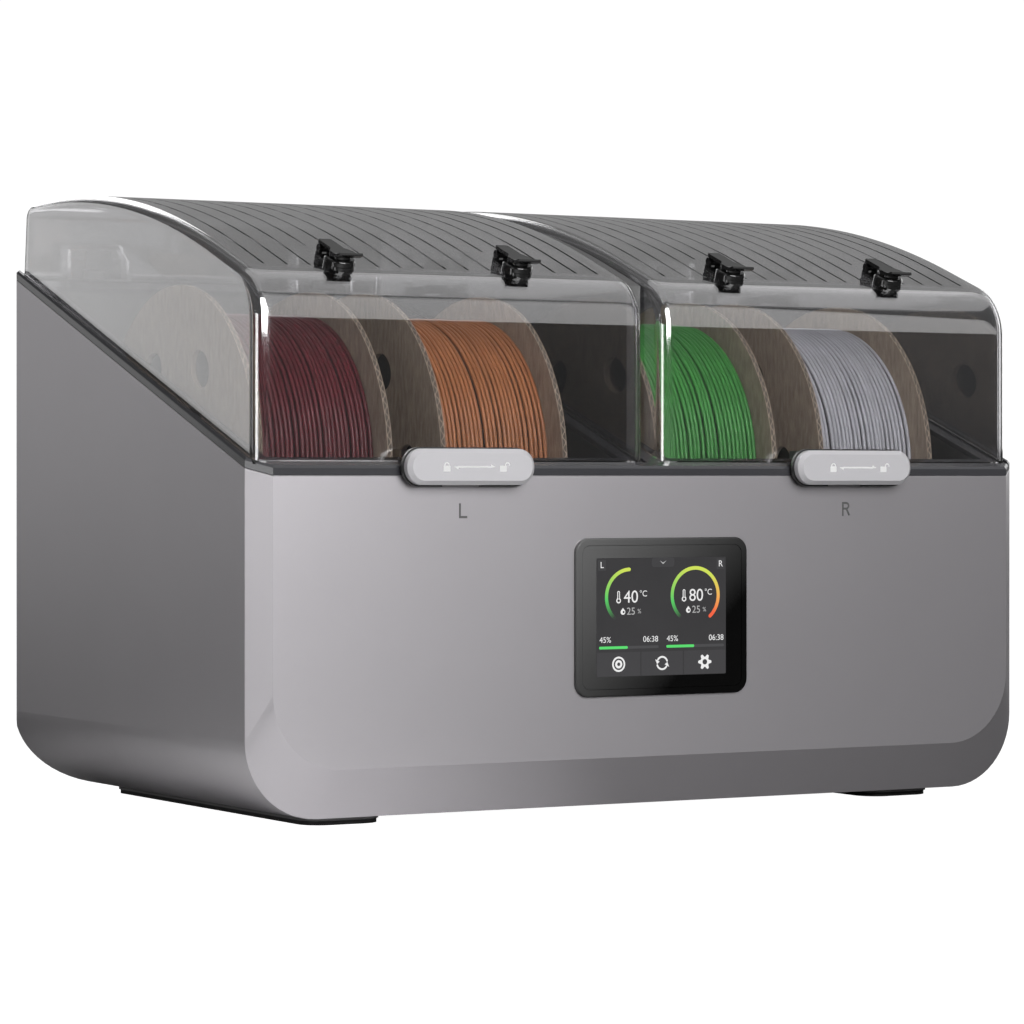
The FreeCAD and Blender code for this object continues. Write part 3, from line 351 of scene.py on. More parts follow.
MATERIALS = {
    "case_grey": plastic("case_paint", (0.368, 0.354, 0.371), 0.36, variation=0.015, bump=0.05, scale=2600.0,
                         metallic=0.85),
    "foot_grey": plastic("foot_grey", grey(0.12), 0.5),
    "foot_rubber": plastic("foot_rubber", grey(0.01), 0.7, bump=0.3),
    "screw_steel": brushed("screw_steel", grey(0.6)),
    "trim_charcoal": plastic("trim_charcoal", (0.028, 0.028, 0.031), 0.16),
    "gasket_rubber": plastic("gasket_rubber", grey(0.012), 0.6),
    "divider_charcoal": plastic("divider_charcoal", grey(0.05), 0.45),
    "bezel_black": cover_glass("bezel_black"),
    "screen_glass": cover_glass("screen_glass"),
    "screen_display": plastic("screen_display", grey(0.02), 0.2),
    "circuit_board": plastic("circuit_board", (0.02, 0.12, 0.05), 0.35),
    "supply_steel": brushed("supply_steel", grey(0.5), 0.4),
    "rear_panel_grey": plastic("rear_panel_grey", grey(0.09), 0.5, bump=0.2),
    "socket_black": plastic("socket_black", grey(0.012), 0.4),
    "pin_brass": brushed("pin_brass", (0.7, 0.5, 0.2)),
    "rocker_black": plastic("rocker_black", grey(0.01), 0.25),
    "heater_aluminium": brushed("heater_aluminium", grey(0.6)),
    "fan_black": plastic("fan_black", grey(0.015), 0.4),
    "sensor_white": plastic("sensor_white", grey(0.65), 0.5),
    "shaft_steel": brushed("shaft_steel", grey(0.65), 0.2),
    "cradle_steel": brushed("cradle_steel", grey(0.4)),
    "hinge_black": plastic("hinge_black", grey(0.015), 0.35),
    "tub_dark": plastic("tub_dark", grey(0.03), 0.5),
    "lid_clear": lid_plastic("lid_plastic", LID_TINT, 0.012, 1.0),
    # Groove floors: the lid plastic tinted dark, painted shade in the grooves.
    "lid_groove_painted_shade": lid_plastic("lid_groove_painted_shade", shade(LID_TINT, 0.12), 0.5, 0.2),
    "port_black": plastic("port_black", grey(0.006), 0.09),
    "latch_black": plastic("latch_black", grey(0.012), 0.35),
    "latch_grey": plastic("latch_grey", (0.305, 0.30, 0.312), 0.35, variation=0.015, bump=0.04),
    "filament_maroon": filament("filament_maroon", (0.11, 0.012, 0.018)),
    "filament_orange": filament("filament_orange", (0.40, 0.15, 0.055)),
    "filament_green": filament("filament_green", (0.05, 0.27, 0.05)),
    "filament_grey": filament("filament_grey", (0.42, 0.42, 0.45)),
    "roller_rubber": plastic("roller_rubber", grey(0.02), 0.6),
    # Dark plates set into the engraved bay letters.
    "letter_dark_fill": plastic("letter_dark_fill", grey(0.05), 0.5),
    # Near-black ring under the wound strands: painted shade in the gaps between them.
    "winding_painted_shade": plastic("winding_painted_shade", grey(0.006), 0.9),
}
SLOT_OF = {part["node"]: part["material_slot"] for part in frame["record"]["subparts"]}


def dress_nodes():
    """Gives every CAD node its material; each reel has its own card, centred on its spool."""
    for side, bay in BAYS.items():
        for name, offset in SPOOL_OFFSETS.items():
            reel = "spool_reel_" + side + "_" + name
            MATERIALS[reel] = cardboard("card_" + side + "_" + name, bay + offset)
    for name, node in NODES.items():
        node.data.materials.clear()
        node.data.materials.append(MATERIALS.get(name) or MATERIALS[SLOT_OF[name]])


# ---------------------------------------------------------------- mesh helpers
def add_mesh(name, vertices, faces, material, body, smooth=False):
    """A mesh from points in mm, riding on a body."""
    mesh = bpy.data.meshes.new(name)
    mesh.from_pydata([at(*v) for v in vertices], [], faces)
    mesh.materials.append(material)
    mesh.polygons.foreach_set("use_smooth", [smooth] * len(mesh.polygons))
    mesh.update()
    item = bpy.data.objects.new(name, mesh)
    LINKED.link(item)
    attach(item, body)
    return item


def face_outward(item):
    """Turns every face of a closed mesh outward."""
    bm = bmesh.new()
    bm.from_mesh(item.data)
    bmesh.ops.recalc_face_normals(bm, faces=bm.faces)
    bm.to_mesh(item.data)
    bm.free()


def plate(name, outline, front, material, body, thickness=0.04):
    """Thin flat shape in a plane parallel to the front face, from an outline of (x, z) points."""
    count = len(outline)
    vertices = [(x, front, z) for x, z in outline] + [(x, front + thickness, z) for x, z in outline]
    faces = [list(range(count)), list(range(2 * count - 1, count - 1, -1))]
    for i in range(count):
        j = (i + 1) % count
        faces.append([j, i, i + count, j + count])
    face_outward(add_mesh(name, vertices, faces, material, body))


def rounded(x, z, half_x, half_z, radius, steps=5):
    """Outline of a rectangle with round corners, as (x, z) points."""
    points = []
    for corner, (sx, sz) in enumerate(((1, 1), (-1, 1), (-1, -1), (1, -1))):
        for i in range(steps + 1):
            angle = math.radians(90 * corner + 90 * i / steps)
            points.append((x + sx * (half_x - radius) + radius * math.cos(angle),
                           z + sz * (half_z - radius) + radius * math.sin(angle)))
    return points


def polar(x, z, radius, angle):
    return x + radius * math.cos(angle), z + radius * math.sin(angle)


def disc(x, z, radius, steps=28):
    """Outline of a circle."""
    return [polar(x, z, radius, 2 * math.pi * i / steps) for i in range(steps)]


def arc_band(x, z, radius, width, start, end, steps=48):
    """Band along an arc with round ends; angles in degrees, anticlockwise seen from the front."""
    a0, a1 = math.radians(start), math.radians(end)
    sign = 1 if a1 > a0 else -1
    half = width / 2
    angles = [a0 + (a1 - a0) * i / steps for i in range(steps + 1)]
    end_turns = [sign * math.pi * i / 6 for i in range(1, 6)]
    points = [polar(x, z, radius + half, a) for a in angles]
    points += [polar(*polar(x, z, radius, a1), half, a1 + turn) for turn in end_turns]
    points += [polar(x, z, radius - half, a) for a in reversed(angles)]
    points += [polar(*polar(x, z, radius, a0), half, a0 + math.pi + turn) for turn in end_turns]
    return points


def applied_mesh(item):
    """Mesh of an object with its modifiers or its curve worked out."""
    return bpy.data.meshes.new_from_object(item.evaluated_get(bpy.context.evaluated_depsgraph_get()))


CAPITAL_SHARE = 0.69


def text_plate(name, words, x, z, height, front, material, body, align):
    """Flat lettering, height in mm of a capital, turned into a mesh."""
    curve = bpy.data.curves.new(name, "FONT")
    curve.body = words
    curve.size = height * MM / CAPITAL_SHARE
    curve.align_x = align
    curve.align_y = "CENTER"
    source = bpy.data.objects.new(name + "_text", curve)
    LINKED.link(source)
    bpy.context.view_layer.update()
    mesh = applied_mesh(source)
    bpy.data.objects.remove(source)
    mesh.transform(Matrix.Translation(at(x, front, z)) @ Matrix.Rotation(math.radians(90), 4, "X"))
    mesh.materials.clear()
    mesh.materials.append(material)
    item = bpy.data.objects.new(name, mesh)
    LINKED.link(item)
    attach(item, body)


# ---------------------------------------------------------------- wound filament
def ring_faces(first, sides, flip):
    """Faces of a closed ring of STRAND_STEPS loops of vertices, numbered from first."""
    faces = []
    for step in range(STRAND_STEPS):
        a = first + step * sides
        b = first + (step + 1) % STRAND_STEPS * sides
        for k in range(sides):
            m = (k + 1) % sides
            faces.append([a + m, a + k, b + k, b + m] if flip else [a + k, a + m, b + m, b + k])
    return faces


def winding(side, name, spool_x, seed):
    """Strand beside strand on each spool with small uneven gaps, and under them a ring painted near-black as
    the shade between the strands.
    """
    chance = random.Random(seed)
    width = 2 * (SPOOL_HALF - FLANGE) - WINDING_PLAY
    gaps = [STRAND_LEAST_GAP + chance.random() ** 3 for _ in range(STRAND_COUNT - 1)]
    scale = (width - 2 * STRAND_R * STRAND_COUNT) / sum(gaps)
    angles = [2 * math.pi * step / STRAND_STEPS for step in range(STRAND_STEPS)]
    turns = [2 * math.pi * k / STRAND_SIDES for k in range(STRAND_SIDES)]
    x = spool_x - width / 2 + STRAND_R
    vertices = []
    faces = []
    sway = chance.random() * 6
    for i, gap in enumerate(gaps + [0.0]):
        radius = WINDING_R - STRAND_R - 0.1 - STRAND_SPREAD * chance.random()
        swing = STRAND_SWING * math.sin(0.5 * i + sway)
        faces += ring_faces(len(vertices), STRAND_SIDES, False)
        for angle in angles:
            middle = x + swing * math.sin(2 * angle + 0.21 * i)
            for turn in turns:
                y, z = polar(SPOOL_Y, SPOOL_Z, radius + STRAND_R * math.cos(turn), angle)
                vertices.append((middle + STRAND_R * math.sin(turn), y, z))
        x += 2 * STRAND_R + gap * scale
    strand_faces = len(faces)
    under = WINDING_R - 2.2 * STRAND_R
    low, high = spool_x - SPOOL_HALF + FLANGE, spool_x + SPOOL_HALF - FLANGE
    section = ((low, CORE_R), (low, under), (high, under), (high, CORE_R))
    faces += ring_faces(len(vertices), len(section), True)
    for angle in angles:
        vertices += [(along, *polar(SPOOL_Y, SPOOL_Z, r, angle)) for along, r in section]
    node = "spool_filament_" + side + "_" + name
    slot = SLOT_OF[node]
    item = add_mesh("winding_" + side + "_" + name, vertices, faces, MATERIALS[slot],
                    "spool_" + side + "_" + name, smooth=True)
    # the ring under the strands is painted near-black, as shade between them
    item.data.materials.append(MATERIALS["winding_painted_shade"])
    item.data.polygons.foreach_set("material_index", [0] * strand_faces + [1] * (len(faces) - strand_faces))
    item.data.set_sharp_from_angle(angle=math.radians(60))
    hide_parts(node)


# ---------------------------------------------------------------- clear lids
def lid_profile():
    """Points and inward normals of the lid's side view, from its front foot over the top to its rear foot."""
    corners = [Vector(p) for p in ((LID_FRONT, LID_FOOT_Z), LID_BROW, LID_CROWN, *LID_REAR)]
    rows = []
    for i, (radius, steps) in enumerate(LID_BENDS, 1):
        here = corners[i]
        back = (corners[i - 1] - here).normalized()
        onward = (corners[i + 1] - here).normalized()
        half = back.angle(onward) / 2
        middle = here + (back + onward).normalized() * (radius / math.sin(half))
        start = here + back * (radius / math.tan(half))
        end = here + onward * (radius / math.tan(half))
        a0 = math.atan2(start.y - middle.y, start.x - middle.x)
        a1 = math.atan2(end.y - middle.y, end.x - middle.x)
        for k in range(steps + 1):
            outward = Vector(polar(0, 0, 1, a0 + (a1 - a0) * k / steps))
            rows.append((middle + outward * radius, -outward))
    for y in (GROOVE_FRONT, GROOVE_BEHIND_PORT, GROOVE_REAR):
        for shift in (-GROOVE_WALL, GROOVE_WALL):
            for k in range(len(rows) - 1):
                (p, n), (q, m) = rows[k], rows[k + 1]
                if p.x < y + shift < q.x and p.y > ROOF_ABOVE:
                    t = (y + shift - p.x) / (q.x - p.x)
                    rows.insert(k + 1, (p.lerp(q, t), n.lerp(m, t).normalized()))
                    break
    along = (corners[4] - corners[3]).normalized()
    first = (Vector((LID_FRONT, 200.0)), Vector((1, 0)))
    last = (corners[3] + along * 20, Vector((along.y, -along.x)))
    return [first] + rows + [last], along


def lid_columns(bay):
    """Places across the lid: (x outside, inset outside, x inside, inset inside, groove start or None)."""
    side = math.copysign(1, bay)
    x0, x1 = sorted((side * LID_INNER_X, side * LID_OUTER_X))
    inner_r = LID_EDGE_R - LID_WALL
    steps = 8
    left = []
    right = []
    for k in range(steps + 1):
        cos, sin = polar(0, 0, 1, math.radians(90 * k / steps))
        out = (LID_EDGE_R - LID_EDGE_R * sin, LID_EDGE_R - LID_EDGE_R * cos)
        inside = (LID_EDGE_R - inner_r * sin, LID_EDGE_R - inner_r * cos)
        left.insert(0, (x0 + out[0], out[1], x0 + inside[0], inside[1], None))
        right.append((x1 - out[0], out[1], x1 - inside[0], inside[1], None))
    middle = (x0 + x1) / 2
    edge = GROOVE_WIDTH / 2
    columns = []
    for i in range(GROOVE_COUNT):
        x = middle + (i - (GROOVE_COUNT - 1) / 2) * GROOVE_PITCH
        blocked = any(abs(x - (bay + offset)) < PORT_HALF for offset in PORT_OFFSETS.values())
        start = GROOVE_BEHIND_PORT if blocked else GROOVE_FRONT
        for shift, groove in ((-edge - GROOVE_WALL, None), (-edge + GROOVE_WALL, start),
                              (edge - GROOVE_WALL, start), (edge + GROOVE_WALL, None)):
            columns.append((x + shift, 0.0, x + shift, LID_WALL, groove))
    return left + columns + right


def lid_point(row, along, x, depth, position, count):
    """One point of the lid; the first and last rows end on the sloping foot."""
    point = row[0] + row[1] * depth
    if position == 0:
        point = Vector((point.x, rim(point.x) + LID_LIFT))
    elif position == count - 1:
        reach = (rim(point.x) + LID_LIFT - point.y) / (along.y - RIM_SLOPE * along.x)
        point = point + along * reach
    return (x, point.x, point.y)


def combine(item, other, operation):
    """Joins or cuts a mesh by another one, which is then removed."""
    change = item.modifiers.new(operation, "BOOLEAN")
    change.operation = operation
    change.object = other
    change.solver = "EXACT"
    mesh = applied_mesh(item)
    item.modifiers.clear()
    item.data = mesh
    bpy.data.objects.remove(other)


def block(centre, half, front, rear, floor, top):
    """Closed block with a flat top; floor gives the height of its underside at a depth."""
    mesh = bpy.data.meshes.new("block")
    faces = [(3, 2, 1, 0), (4, 5, 6, 7), (0, 1, 5, 4), (1, 2, 6, 5), (2, 3, 7, 6), (3, 0, 4, 7)]
    base = [(centre - half, front), (centre + half, front), (centre + half, rear), (centre - half, rear)]
    corners = [(x, y, floor(y)) for x, y in base] + [(x, y, top) for x, y in base]
    mesh.from_pydata([at(*c) for c in corners], [], faces)
    item = bpy.data.objects.new("block", mesh)
    LINKED.link(item)
    bpy.context.view_layer.update()
    return item


def in_groove(start, row):
    """Whether a row of the lid lies in a groove that starts at this depth."""
    return start is not None and start < row[0].x < GROOVE_REAR and row[0].y > ROOF_ABOVE


def lid(side, bay):
    """One-piece clear lid with rounded edges, grooves in its roof and notches for the hinges; the groove
    floors are tinted dark as painted shade.
    """
    rows, along = lid_profile()
    columns = lid_columns(bay)
    count = len(rows)
    width = len(columns)
    vertices = []
    for inside in (False, True):
        for x_out, d_out, x_in, d_in, groove in columns:
            for k, row in enumerate(rows):
                depth = d_in if inside else d_out
                if not inside and in_groove(groove, row):
                    depth += GROOVE_DEPTH
                vertices.append(lid_point(row, along, x_in if inside else x_out, depth, k, count))
    inner = width * count
    faces = []
    grooved = []
    for j in range(width - 1):
        start = columns[j][4] if columns[j][4] == columns[j + 1][4] else None
        for k in range(count - 1):
            a = j * count + k
            b = a + count
            faces.append([a, a + 1, b + 1, b])
            faces.append([inner + b, inner + b + 1, inner + a + 1, inner + a])
            grooved += [int(in_groove(start, rows[k])), 0]
        a = j * count
        faces.append([a, a + count, inner + a + count, inner + a])
        a = j * count + count - 1
        faces.append([a + count, a, inner + a, inner + a + count])
        grooved += [0, 0]
    last = (width - 1) * count
    faces.append(list(range(count - 1, -1, -1)))
    faces.append([inner + k for k in range(count)])
    faces.append([last + k for k in range(count)])
    faces.append([inner + last + k for k in range(count - 1, -1, -1)])
    faces.append([0, inner, inner + count - 1, count - 1])
    faces.append([last, last + count - 1, inner + last + count - 1, inner + last])
    node = "lid_shell_" + side
    item = add_mesh("clear_lid_" + side, vertices, faces, MATERIALS["lid_clear"], "lid_" + side)
    # groove floor faces take the dark tint, painted shade
    item.data.materials.append(MATERIALS["lid_groove_painted_shade"])
    item.data.polygons.foreach_set("material_index", grooved + [0] * (len(faces) - len(grooved)))
    face_outward(item)
    for centre in (bay - HINGE_OFFSET, bay + HINGE_OFFSET):
        wall = block(centre, NOTCH_HALF + LID_WALL, NOTCH_FRONT - LID_WALL, NOTCH_WALL_REAR,
                     lambda y: rim(y) + LID_LIFT, NOTCH_TOP + LID_WALL)
        combine(item, wall, "UNION")
        notch = block(centre, NOTCH_HALF, NOTCH_FRONT, NOTCH_REAR, lambda y: NOTCH_BASE, NOTCH_TOP)
        combine(item, notch, "DIFFERENCE")
    item.data.polygons.foreach_set("use_smooth", [len(p.vertices) < 12 for p in item.data.polygons])
    item.data.set_sharp_from_angle(angle=math.radians(28))
    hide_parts(node)


# ---------------------------------------------------------------- display
SCREEN_LEFT = -43.0
SCREEN_TOP = 141.2
SCREEN_WIDTH = 84.6
SCREEN_HEIGHT = 65.1
LAYER_STEP = 0.03


def on_screen(across, down):
    """A place on the lit area, given as shares of its width and height."""
    return SCREEN_LEFT + SCREEN_WIDTH * across, SCREEN_TOP - SCREEN_HEIGHT * down


class Page:
    """What the display shows, in thin numbered layers on the cover glass."""

    def __init__(self):
        self.count = 0
        self.white = lit("ui_white", grey(0.85))
        self.soft = lit("ui_soft", grey(0.45))
        self.backdrop = glow("ui_backdrop", [(0.25, (0.034, 0.033, 0.035)), (0.75, (0.040, 0.039, 0.041))])
        self.tile = lit("ui_tile", (0.050, 0.049, 0.052))
        self.track = lit("ui_track", (0.065, 0.065, 0.068))
        self.green = lit("ui_green", (0.10, 0.72, 0.16))

    def shape(self, outline, material, layer=1):
        self.count += 1
        front = GLASS_FRONT - 0.02 - LAYER_STEP * layer
        plate("display_mark_" + str(self.count), outline, front, material, "base", 0.02)

    def text(self, words, x, z, height, material, align="CENTER", layer=1):
        self.count += 1
        front = GLASS_FRONT - LAYER_STEP * (layer + 1)
        name = "display_mark_" + str(self.count)
        text_plate(name, words, x, z, height, front, material, "base", align)


def thermometer(page, x, z):
    page.shape(rounded(x, z + 0.9, 0.85, 2.5, 0.8), page.white)
    page.shape(disc(x, z - 1.9, 1.5), page.white)
    page.shape(rounded(x, z + 1.0, 0.35, 1.9, 0.3), page.backdrop, 2)
    page.shape(disc(x, z - 1.9, 0.8), page.backdrop, 2)


def drop(page, x, z):
    page.shape(disc(x, z - 0.2, 1.5), page.white)
    page.shape([(x - 1.2, z + 0.6), (x + 1.2, z + 0.6), (x, z + 2.1)], page.white)
    page.shape(disc(x + 0.4, z - 0.2, 0.6), page.backdrop, 2)


def gauge(page, across, down, degrees, start, end, stops):
    """Coloured arc with the temperature and the humidity in it."""
    x, z = on_screen(across, down)
    colour = glow("ui_gauge_" + degrees, stops, (x, z))
    page.shape(arc_band(x, z, 15.2, 2.0, start, end), colour)
    page.text(degrees, x + 0.6, z - 0.2, 6.6, page.white)
    page.text("°C", x + 8.6, z + 1.6, 3.2, page.white)
    thermometer(page, x - 7.4, z)
    page.text("25", x + 0.6, z - 8.0, 3.9, page.soft)
    page.text("%", x + 6.0, z - 8.0, 2.4, page.soft)
    drop(page, x - 4.6, z - 8.0)


def progress(page, start, end, share):
    """Progress bar with its share and time."""
    x0, z = on_screen(start, 0.755)
    x1 = on_screen(end, 0.755)[0]
    page.shape(rounded((x0 + x1) / 2, z, (x1 - x0) / 2, 0.75, 0.7), page.track)
    filled = x0 + (x1 - x0) * share
    page.shape(rounded((x0 + filled) / 2, z, (filled - x0) / 2, 0.75, 0.7), page.green, 2)
    page.text("45%", x0 + 0.2, z + 4.2, 3.1, page.white, "LEFT")
    page.text("06:38", x1 - 0.2, z + 4.2, 3.1, page.white, "RIGHT")


def spool_icon(page, x, z):
    rings = ((4.2, page.white), (3.2, page.tile), (2.3, page.white), (1.0, page.tile))
    for layer, (radius, colour) in enumerate(rings, 3):
        page.shape(disc(x, z, radius), colour, layer)


def turning_icon(page, x, z):
    for start in (20, 200):
        page.shape(arc_band(x, z, 3.4, 1.0, start, start + 125), page.white, 3)
        end = math.radians(start + 140)
        head = [polar(x, z, 3.4, end + 0.5), polar(x, z, 5.0, end - 0.1), polar(x, z, 1.8, end - 0.1)]
        page.shape(head, page.white, 3)


def gear_icon(page, x, z):
    outline = []
    for i in range(48):
        a = 2 * math.pi * i / 48
        outline.append(polar(x, z, 3.6 + 0.75 * max(-1, min(1, 2.2 * math.cos(6 * a))), a))
    page.shape(outline, page.white, 3)
    page.shape(disc(x, z, 1.5), page.tile, 4)


def display():
    page = Page()
    centre = on_screen(0.5, 0.5)
    page.shape(rounded(*centre, SCREEN_WIDTH / 2, SCREEN_HEIGHT / 2, 0.8), page.backdrop, 0)
    for letter, across in (("L", 0.042), ("R", 0.958)):
        x, z = on_screen(across, 0.06)
        page.shape(rounded(x, z, 2.6, 3.0, 0.5), page.tile)
        page.text(letter, x, z, 3.4, page.white, layer=2)
    x, z = on_screen(0.51, 0.04)
    page.shape(rounded(x, z, 7.4, 2.6, 1.6), page.tile)
    page.shape([(x - 2.2, z + 1.0), (x, z - 1.1), (x + 2.2, z + 1.0), (x, z - 0.2)], page.soft, 2)
    dark, green, yellow = (0.040, 0.046, 0.042), (0.10, 0.60, 0.13), (0.62, 0.74, 0.10)
    orange, red = (0.9, 0.42, 0.10), (0.9, 0.12, 0.05)
    gauge(page, 0.256, 0.33, "40", 228, 92, [(0.12, dark), (0.24, green), (0.46, yellow), (0.52, yellow)])
    gauge(page, 0.76, 0.325, "80", 228, -50,
          [(0.11, dark), (0.22, green), (0.45, yellow), (0.62, yellow), (0.76, orange), (0.86, red)])
    progress(page, 0.02, 0.475, 0.48)
    progress(page, 0.535, 0.985, 0.48)
    icons = ((0.004, 0.333, spool_icon), (0.343, 0.662, turning_icon), (0.672, 0.996, gear_icon))
    for left, right, icon in icons:
        x0, z0 = on_screen(left, 0.995)
        x1, z1 = on_screen(right, 0.795)
        x, z = (x0 + x1) / 2, (z0 + z1) / 2
        page.shape(rounded(x, z, (x1 - x0) / 2, (z1 - z0) / 2, 0.6), page.tile, 2)
        icon(page, x, z)


# ---------------------------------------------------------------- marks on the latches
ARROW = ((-12.0, 0.1), (-9.4, -1.3), (-9.0, -0.45), (10.6, -0.45), (10.6, -0.45), (13.6, -0.1), (11.0, 1.3),
         (10.6, 0.45), (-9.0, 0.45))


def latch_marks():
    """Closed padlock, open padlock and arrow, printed on each slider; the white print is drawn glowing, as
    painted light.
    """
    # the printed marks glow though they are no lamp: painted light
    white = lit("mark_white_glow", grey(0.95), 0.8)
    for side, bay in BAYS.items():
        marks = []
        locks = (("closed_lock_" + side, bay - 16.2, 0.0, (-1, 1)),
                 ("open_lock_" + side, bay + 18.4, 2.6, (-1,)))
        for name, x, shift, legs in locks:
            marks.append((name + "_body", rounded(x, LATCH_Z - 0.9, 2.1, 1.6, 0.4)))
            marks.append((name + "_bow", arc_band(x + shift, LATCH_Z + 0.9, 1.3, 0.6, 0, 180)))
            for leg in legs:
                outline = rounded(x + shift + leg * 1.3, LATCH_Z + 0.6, 0.3, 0.5, 0.1)
                marks.append((name + "_leg_" + str(leg + 1), outline))
        marks.append(("arrow_" + side, [(bay + x, LATCH_Z + z) for x, z in ARROW]))
        for name, outline in marks:
            plate(name, outline, LATCH_FRONT - MARK_LIFT, white, "latch_slider_" + side)


# ---------------------------------------------------------------- bay letters
LETTER_SINK = 0.25
LETTER_DEPTH = 0.3
LETTER_STROKE = 1.2
LETTER_BASE = 163.5
LETTER_TOP = LETTER_BASE + 8
BOWL_R = 1.6


def stroke(name, outline, raise_by=0.0):
    """One stroke of a letter; strokes that cross lie at slightly different depths."""
    plate(name, outline, LETTER_SINK - raise_by, MATERIALS["letter_dark_fill"], "base", LETTER_DEPTH)


def bay_letters():
    """Dark filling in the engraved L and R."""
    wide, low, high = LETTER_STROKE, LETTER_BASE, LETTER_TOP
    x = BAYS["left"] - 3
    end = x + 5.2
    stem = x + wide
    stroke("letter_l", [(x, low), (end, low), (end, low + wide), (stem, low + wide), (stem, high), (x, high)])
    x = BAYS["right"] - 3
    stroke("letter_r_stem", [(x, low), (x + wide, low), (x + wide, high), (x, high)])
    middle = low + 5.8
    stroke("letter_r_bowl", arc_band(x + 3, middle, BOWL_R, wide, -90, 90))
    for z in (middle + BOWL_R, middle - BOWL_R):
        bar = [(x + 1, z - wide / 2), (x + 3, z - wide / 2), (x + 3, z + wide / 2), (x + 1, z + wide / 2)]
        stroke("letter_r_bar_" + str(round(z)), bar, 0.01)
    leg = [(x + 2.4, middle - BOWL_R), (x + 3.7, middle - BOWL_R), (x + 5.7, low), (x + 4.3, low)]
    stroke("letter_r_leg", leg, 0.02)


# ---------------------------------------------------------------- stage, light and camera
CAMERA_PLACE = Vector((-1.1069, -1.8979, 0.184))
CAMERA_YAW = 30.14
LENS = 131.18
HORIZON_SHIFT = -0.03125
WORLD_LOW = 0.055
WORLD_HIGH = 0.20
WORLD_SEEN = 1.03
FLOOR_GLOW = 1.02
FLOOR_SIZE = 30.0
# Scale and offset in x and y of the pool of light painted into the floor's colour.
PAINTED_LIGHT_POOL = ((1.3, 0.42), (0.8, 0.18))
SOFT_BOXES = (
    ("front_box", (0.90, -1.6554, 1.315), (0.90, 0, 1.315), 1.5, 1.77, 0.87),
    ("front_left_box", (-0.15, -1.75, 0.97), (-0.10, 0, 0.5), 1.2, 1.2, 12.0),
    ("front_low_box", (0.20, -1.60, 0.085), (0.20, 0, 0.085), 1.0, 0.15, 0.8),
    ("side_box", (-1.655, 3.0, 0.93), (-0.25, 0, 0.5), 2.2, 1.44, 0.80),
    ("side_low_box", (-1.655, 3.0, 0.08), (-0.25, 0, 0.08), 2.2, 0.14, 0.8),
    ("low_left_box", (-2.3, -1.2, 0.35), (-0.2, -0.1, 0.1), 0.8, 0.5, 5.0),
    ("back_box", (0.50, 3.0, 1.75), (0.0, 0.16, 0.15), 1.3, 1.7, 1.7),
    ("right_box", (3.0, 1.2, 1.0), (0.25, 0, 0.15), 2.0, 1.6, 1.8),
    ("roof_box", (2.5, 3.6, 2.9), (0.0, 0, 0.35), 4.6, 4.6, 0.17),
    ("top_box", (0.5, -0.25, 2.4), (0.5, -0.25, 0), 3.2, 2.7, 0.66),
)


def area_light(name, place, target, width, height, radiance):
    """Soft box of the given size in metres and radiance, aimed at the target."""
    data = bpy.data.lights.new(name, "AREA")
    data.shape = "RECTANGLE"
    data.size = width
    data.size_y = height
    data.energy = radiance * width * height * math.pi
    light = bpy.data.objects.new(name, data)
    light.location = place
    light.rotation_euler = (Vector(target) - Vector(place)).to_track_quat("-Z", "Y").to_euler()
    light.visible_camera = False
    LINKED.link(light)


def studio_world():
    """White to the eye, dimmer and graded from top to bottom in reflections."""
    world = bpy.data.worlds.new("studio")
    bpy.context.scene.world = world
    world.use_nodes = True
    nodes = world.node_tree.nodes
    links = world.node_tree.links
    background = nodes["Background"]
    path = nodes.new("ShaderNodeLightPath")
    coords = nodes.new("ShaderNodeTexCoord")
    split = nodes.new("ShaderNodeSeparateXYZ")
    ramp = nodes.new("ShaderNodeValToRGB")
    mix = nodes.new("ShaderNodeMix")
    mix.data_type = "RGBA"
    links.new(coords.outputs["Generated"], split.inputs[0])
    links.new(split.outputs[2], ramp.inputs["Fac"])
    ramp.color_ramp.elements[0].color = (*grey(WORLD_LOW), 1)
    ramp.color_ramp.elements[1].color = (*grey(WORLD_HIGH), 1)
    links.new(path.outputs["Is Camera Ray"], mix.inputs["Factor"])
    links.new(ramp.outputs["Color"], mix.inputs["A"])
    mix.inputs["B"].default_value = (*grey(WORLD_SEEN), 1)
    links.new(mix.outputs["Result"], background.inputs["Color"])
    background.inputs["Strength"].default_value = 1.0


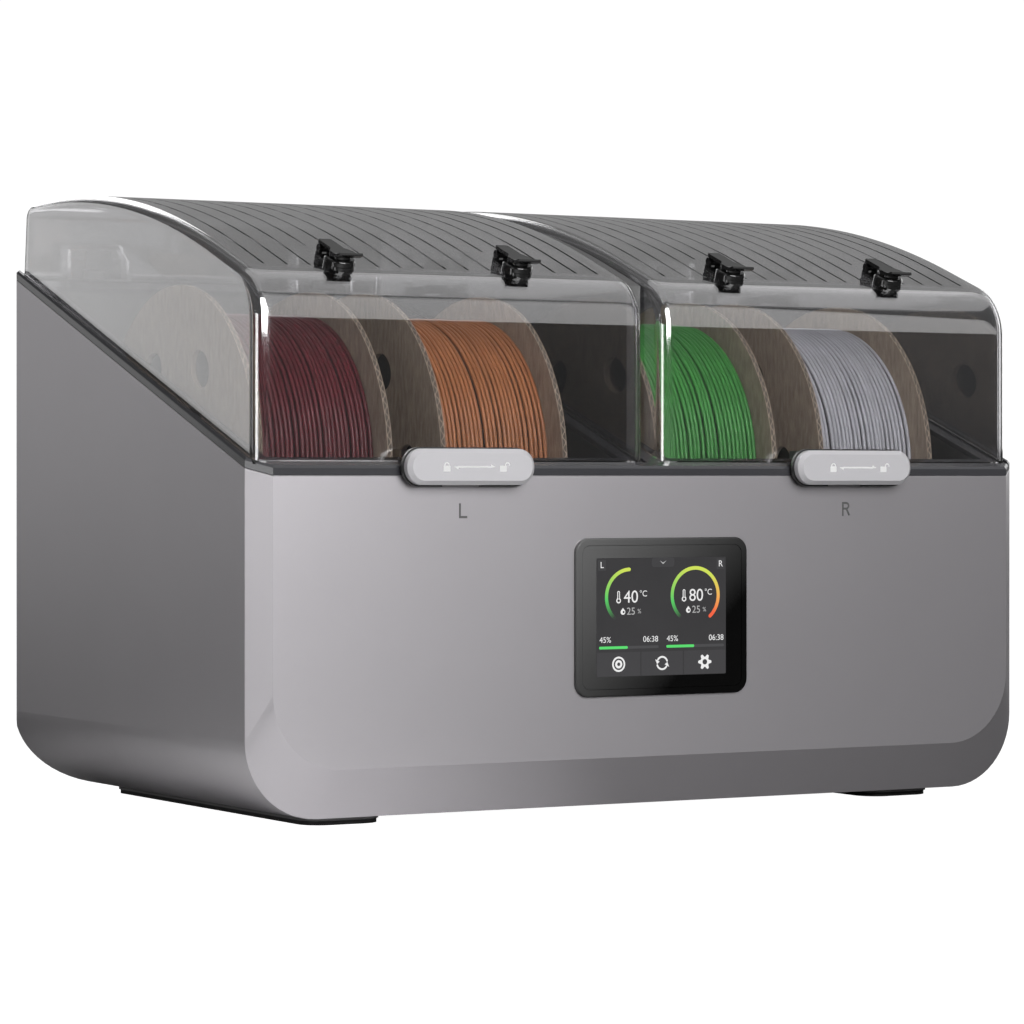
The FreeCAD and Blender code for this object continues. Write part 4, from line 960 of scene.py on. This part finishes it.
def floor_white():
    """White to the camera; in reflections a pool of light painted near the left front corner that darkens
    outward.
    """
    shader = Shader("floor_white")
    cloud = shader.noise(3.0)
    side, ahead = (shader.math("MULTIPLY_ADD", shader.axis(i), *PAINTED_LIGHT_POOL[i]) for i in (0, 1))
    square = shader.math("MULTIPLY_ADD", side, side, shader.math("MULTIPLY", ahead, ahead))
    blend = shader.math("MULTIPLY_ADD", cloud, 0.02, shader.math("SQRT", square))
    # painted pool of light: pale near the left front corner, dark farther out
    shader.base(shader.ramp(blend, [(0.15, grey(0.95)), (0.42, grey(0.17)), (0.75, grey(0.06))]))
    shader.rough(shader.math("MULTIPLY_ADD", cloud, 0.05, 0.9))
    path = shader.add("ShaderNodeLightPath")
    seen = shader.math("MULTIPLY", path.outputs["Is Camera Ray"], FLOOR_GLOW)
    shader.link(seen, shader.bsdf.inputs["Emission Strength"])
    shader.put(Emission_Color=(1, 1, 1, 1))
    return shader.material


def stage():
    """Pale floor, even surroundings and soft boxes."""
    mesh = bpy.data.meshes.new("floor")
    far = FLOOR_SIZE
    mesh.from_pydata([(-far, -far, 0), (far, -far, 0), (far, far, 0), (-far, far, 0)], [], [(0, 1, 2, 3)])
    floor = bpy.data.objects.new("floor", mesh)
    LINKED.link(floor)
    mesh.materials.append(floor_white())
    studio_world()
    for box in SOFT_BOXES:
        area_light(*box)


def camera():
    data = bpy.data.cameras.new("camera")
    data.lens = LENS
    data.shift_y = HORIZON_SHIFT
    data.clip_end = 100
    viewer = bpy.data.objects.new("camera", data)
    viewer.location = CAMERA_PLACE
    viewer.rotation_euler = (math.radians(90), 0, math.radians(-CAMERA_YAW))
    LINKED.link(viewer)
    bpy.context.scene.camera = viewer


dress_nodes()
for number, (side, bay) in enumerate(BAYS.items()):
    lid(side, bay)
    for name, offset in SPOOL_OFFSETS.items():
        winding(side, name, bay + offset, 11 * number + ord(name))
display()
bay_letters()
latch_marks()
stage()
camera()
bpy.context.scene.view_settings.view_transform = "Standard"
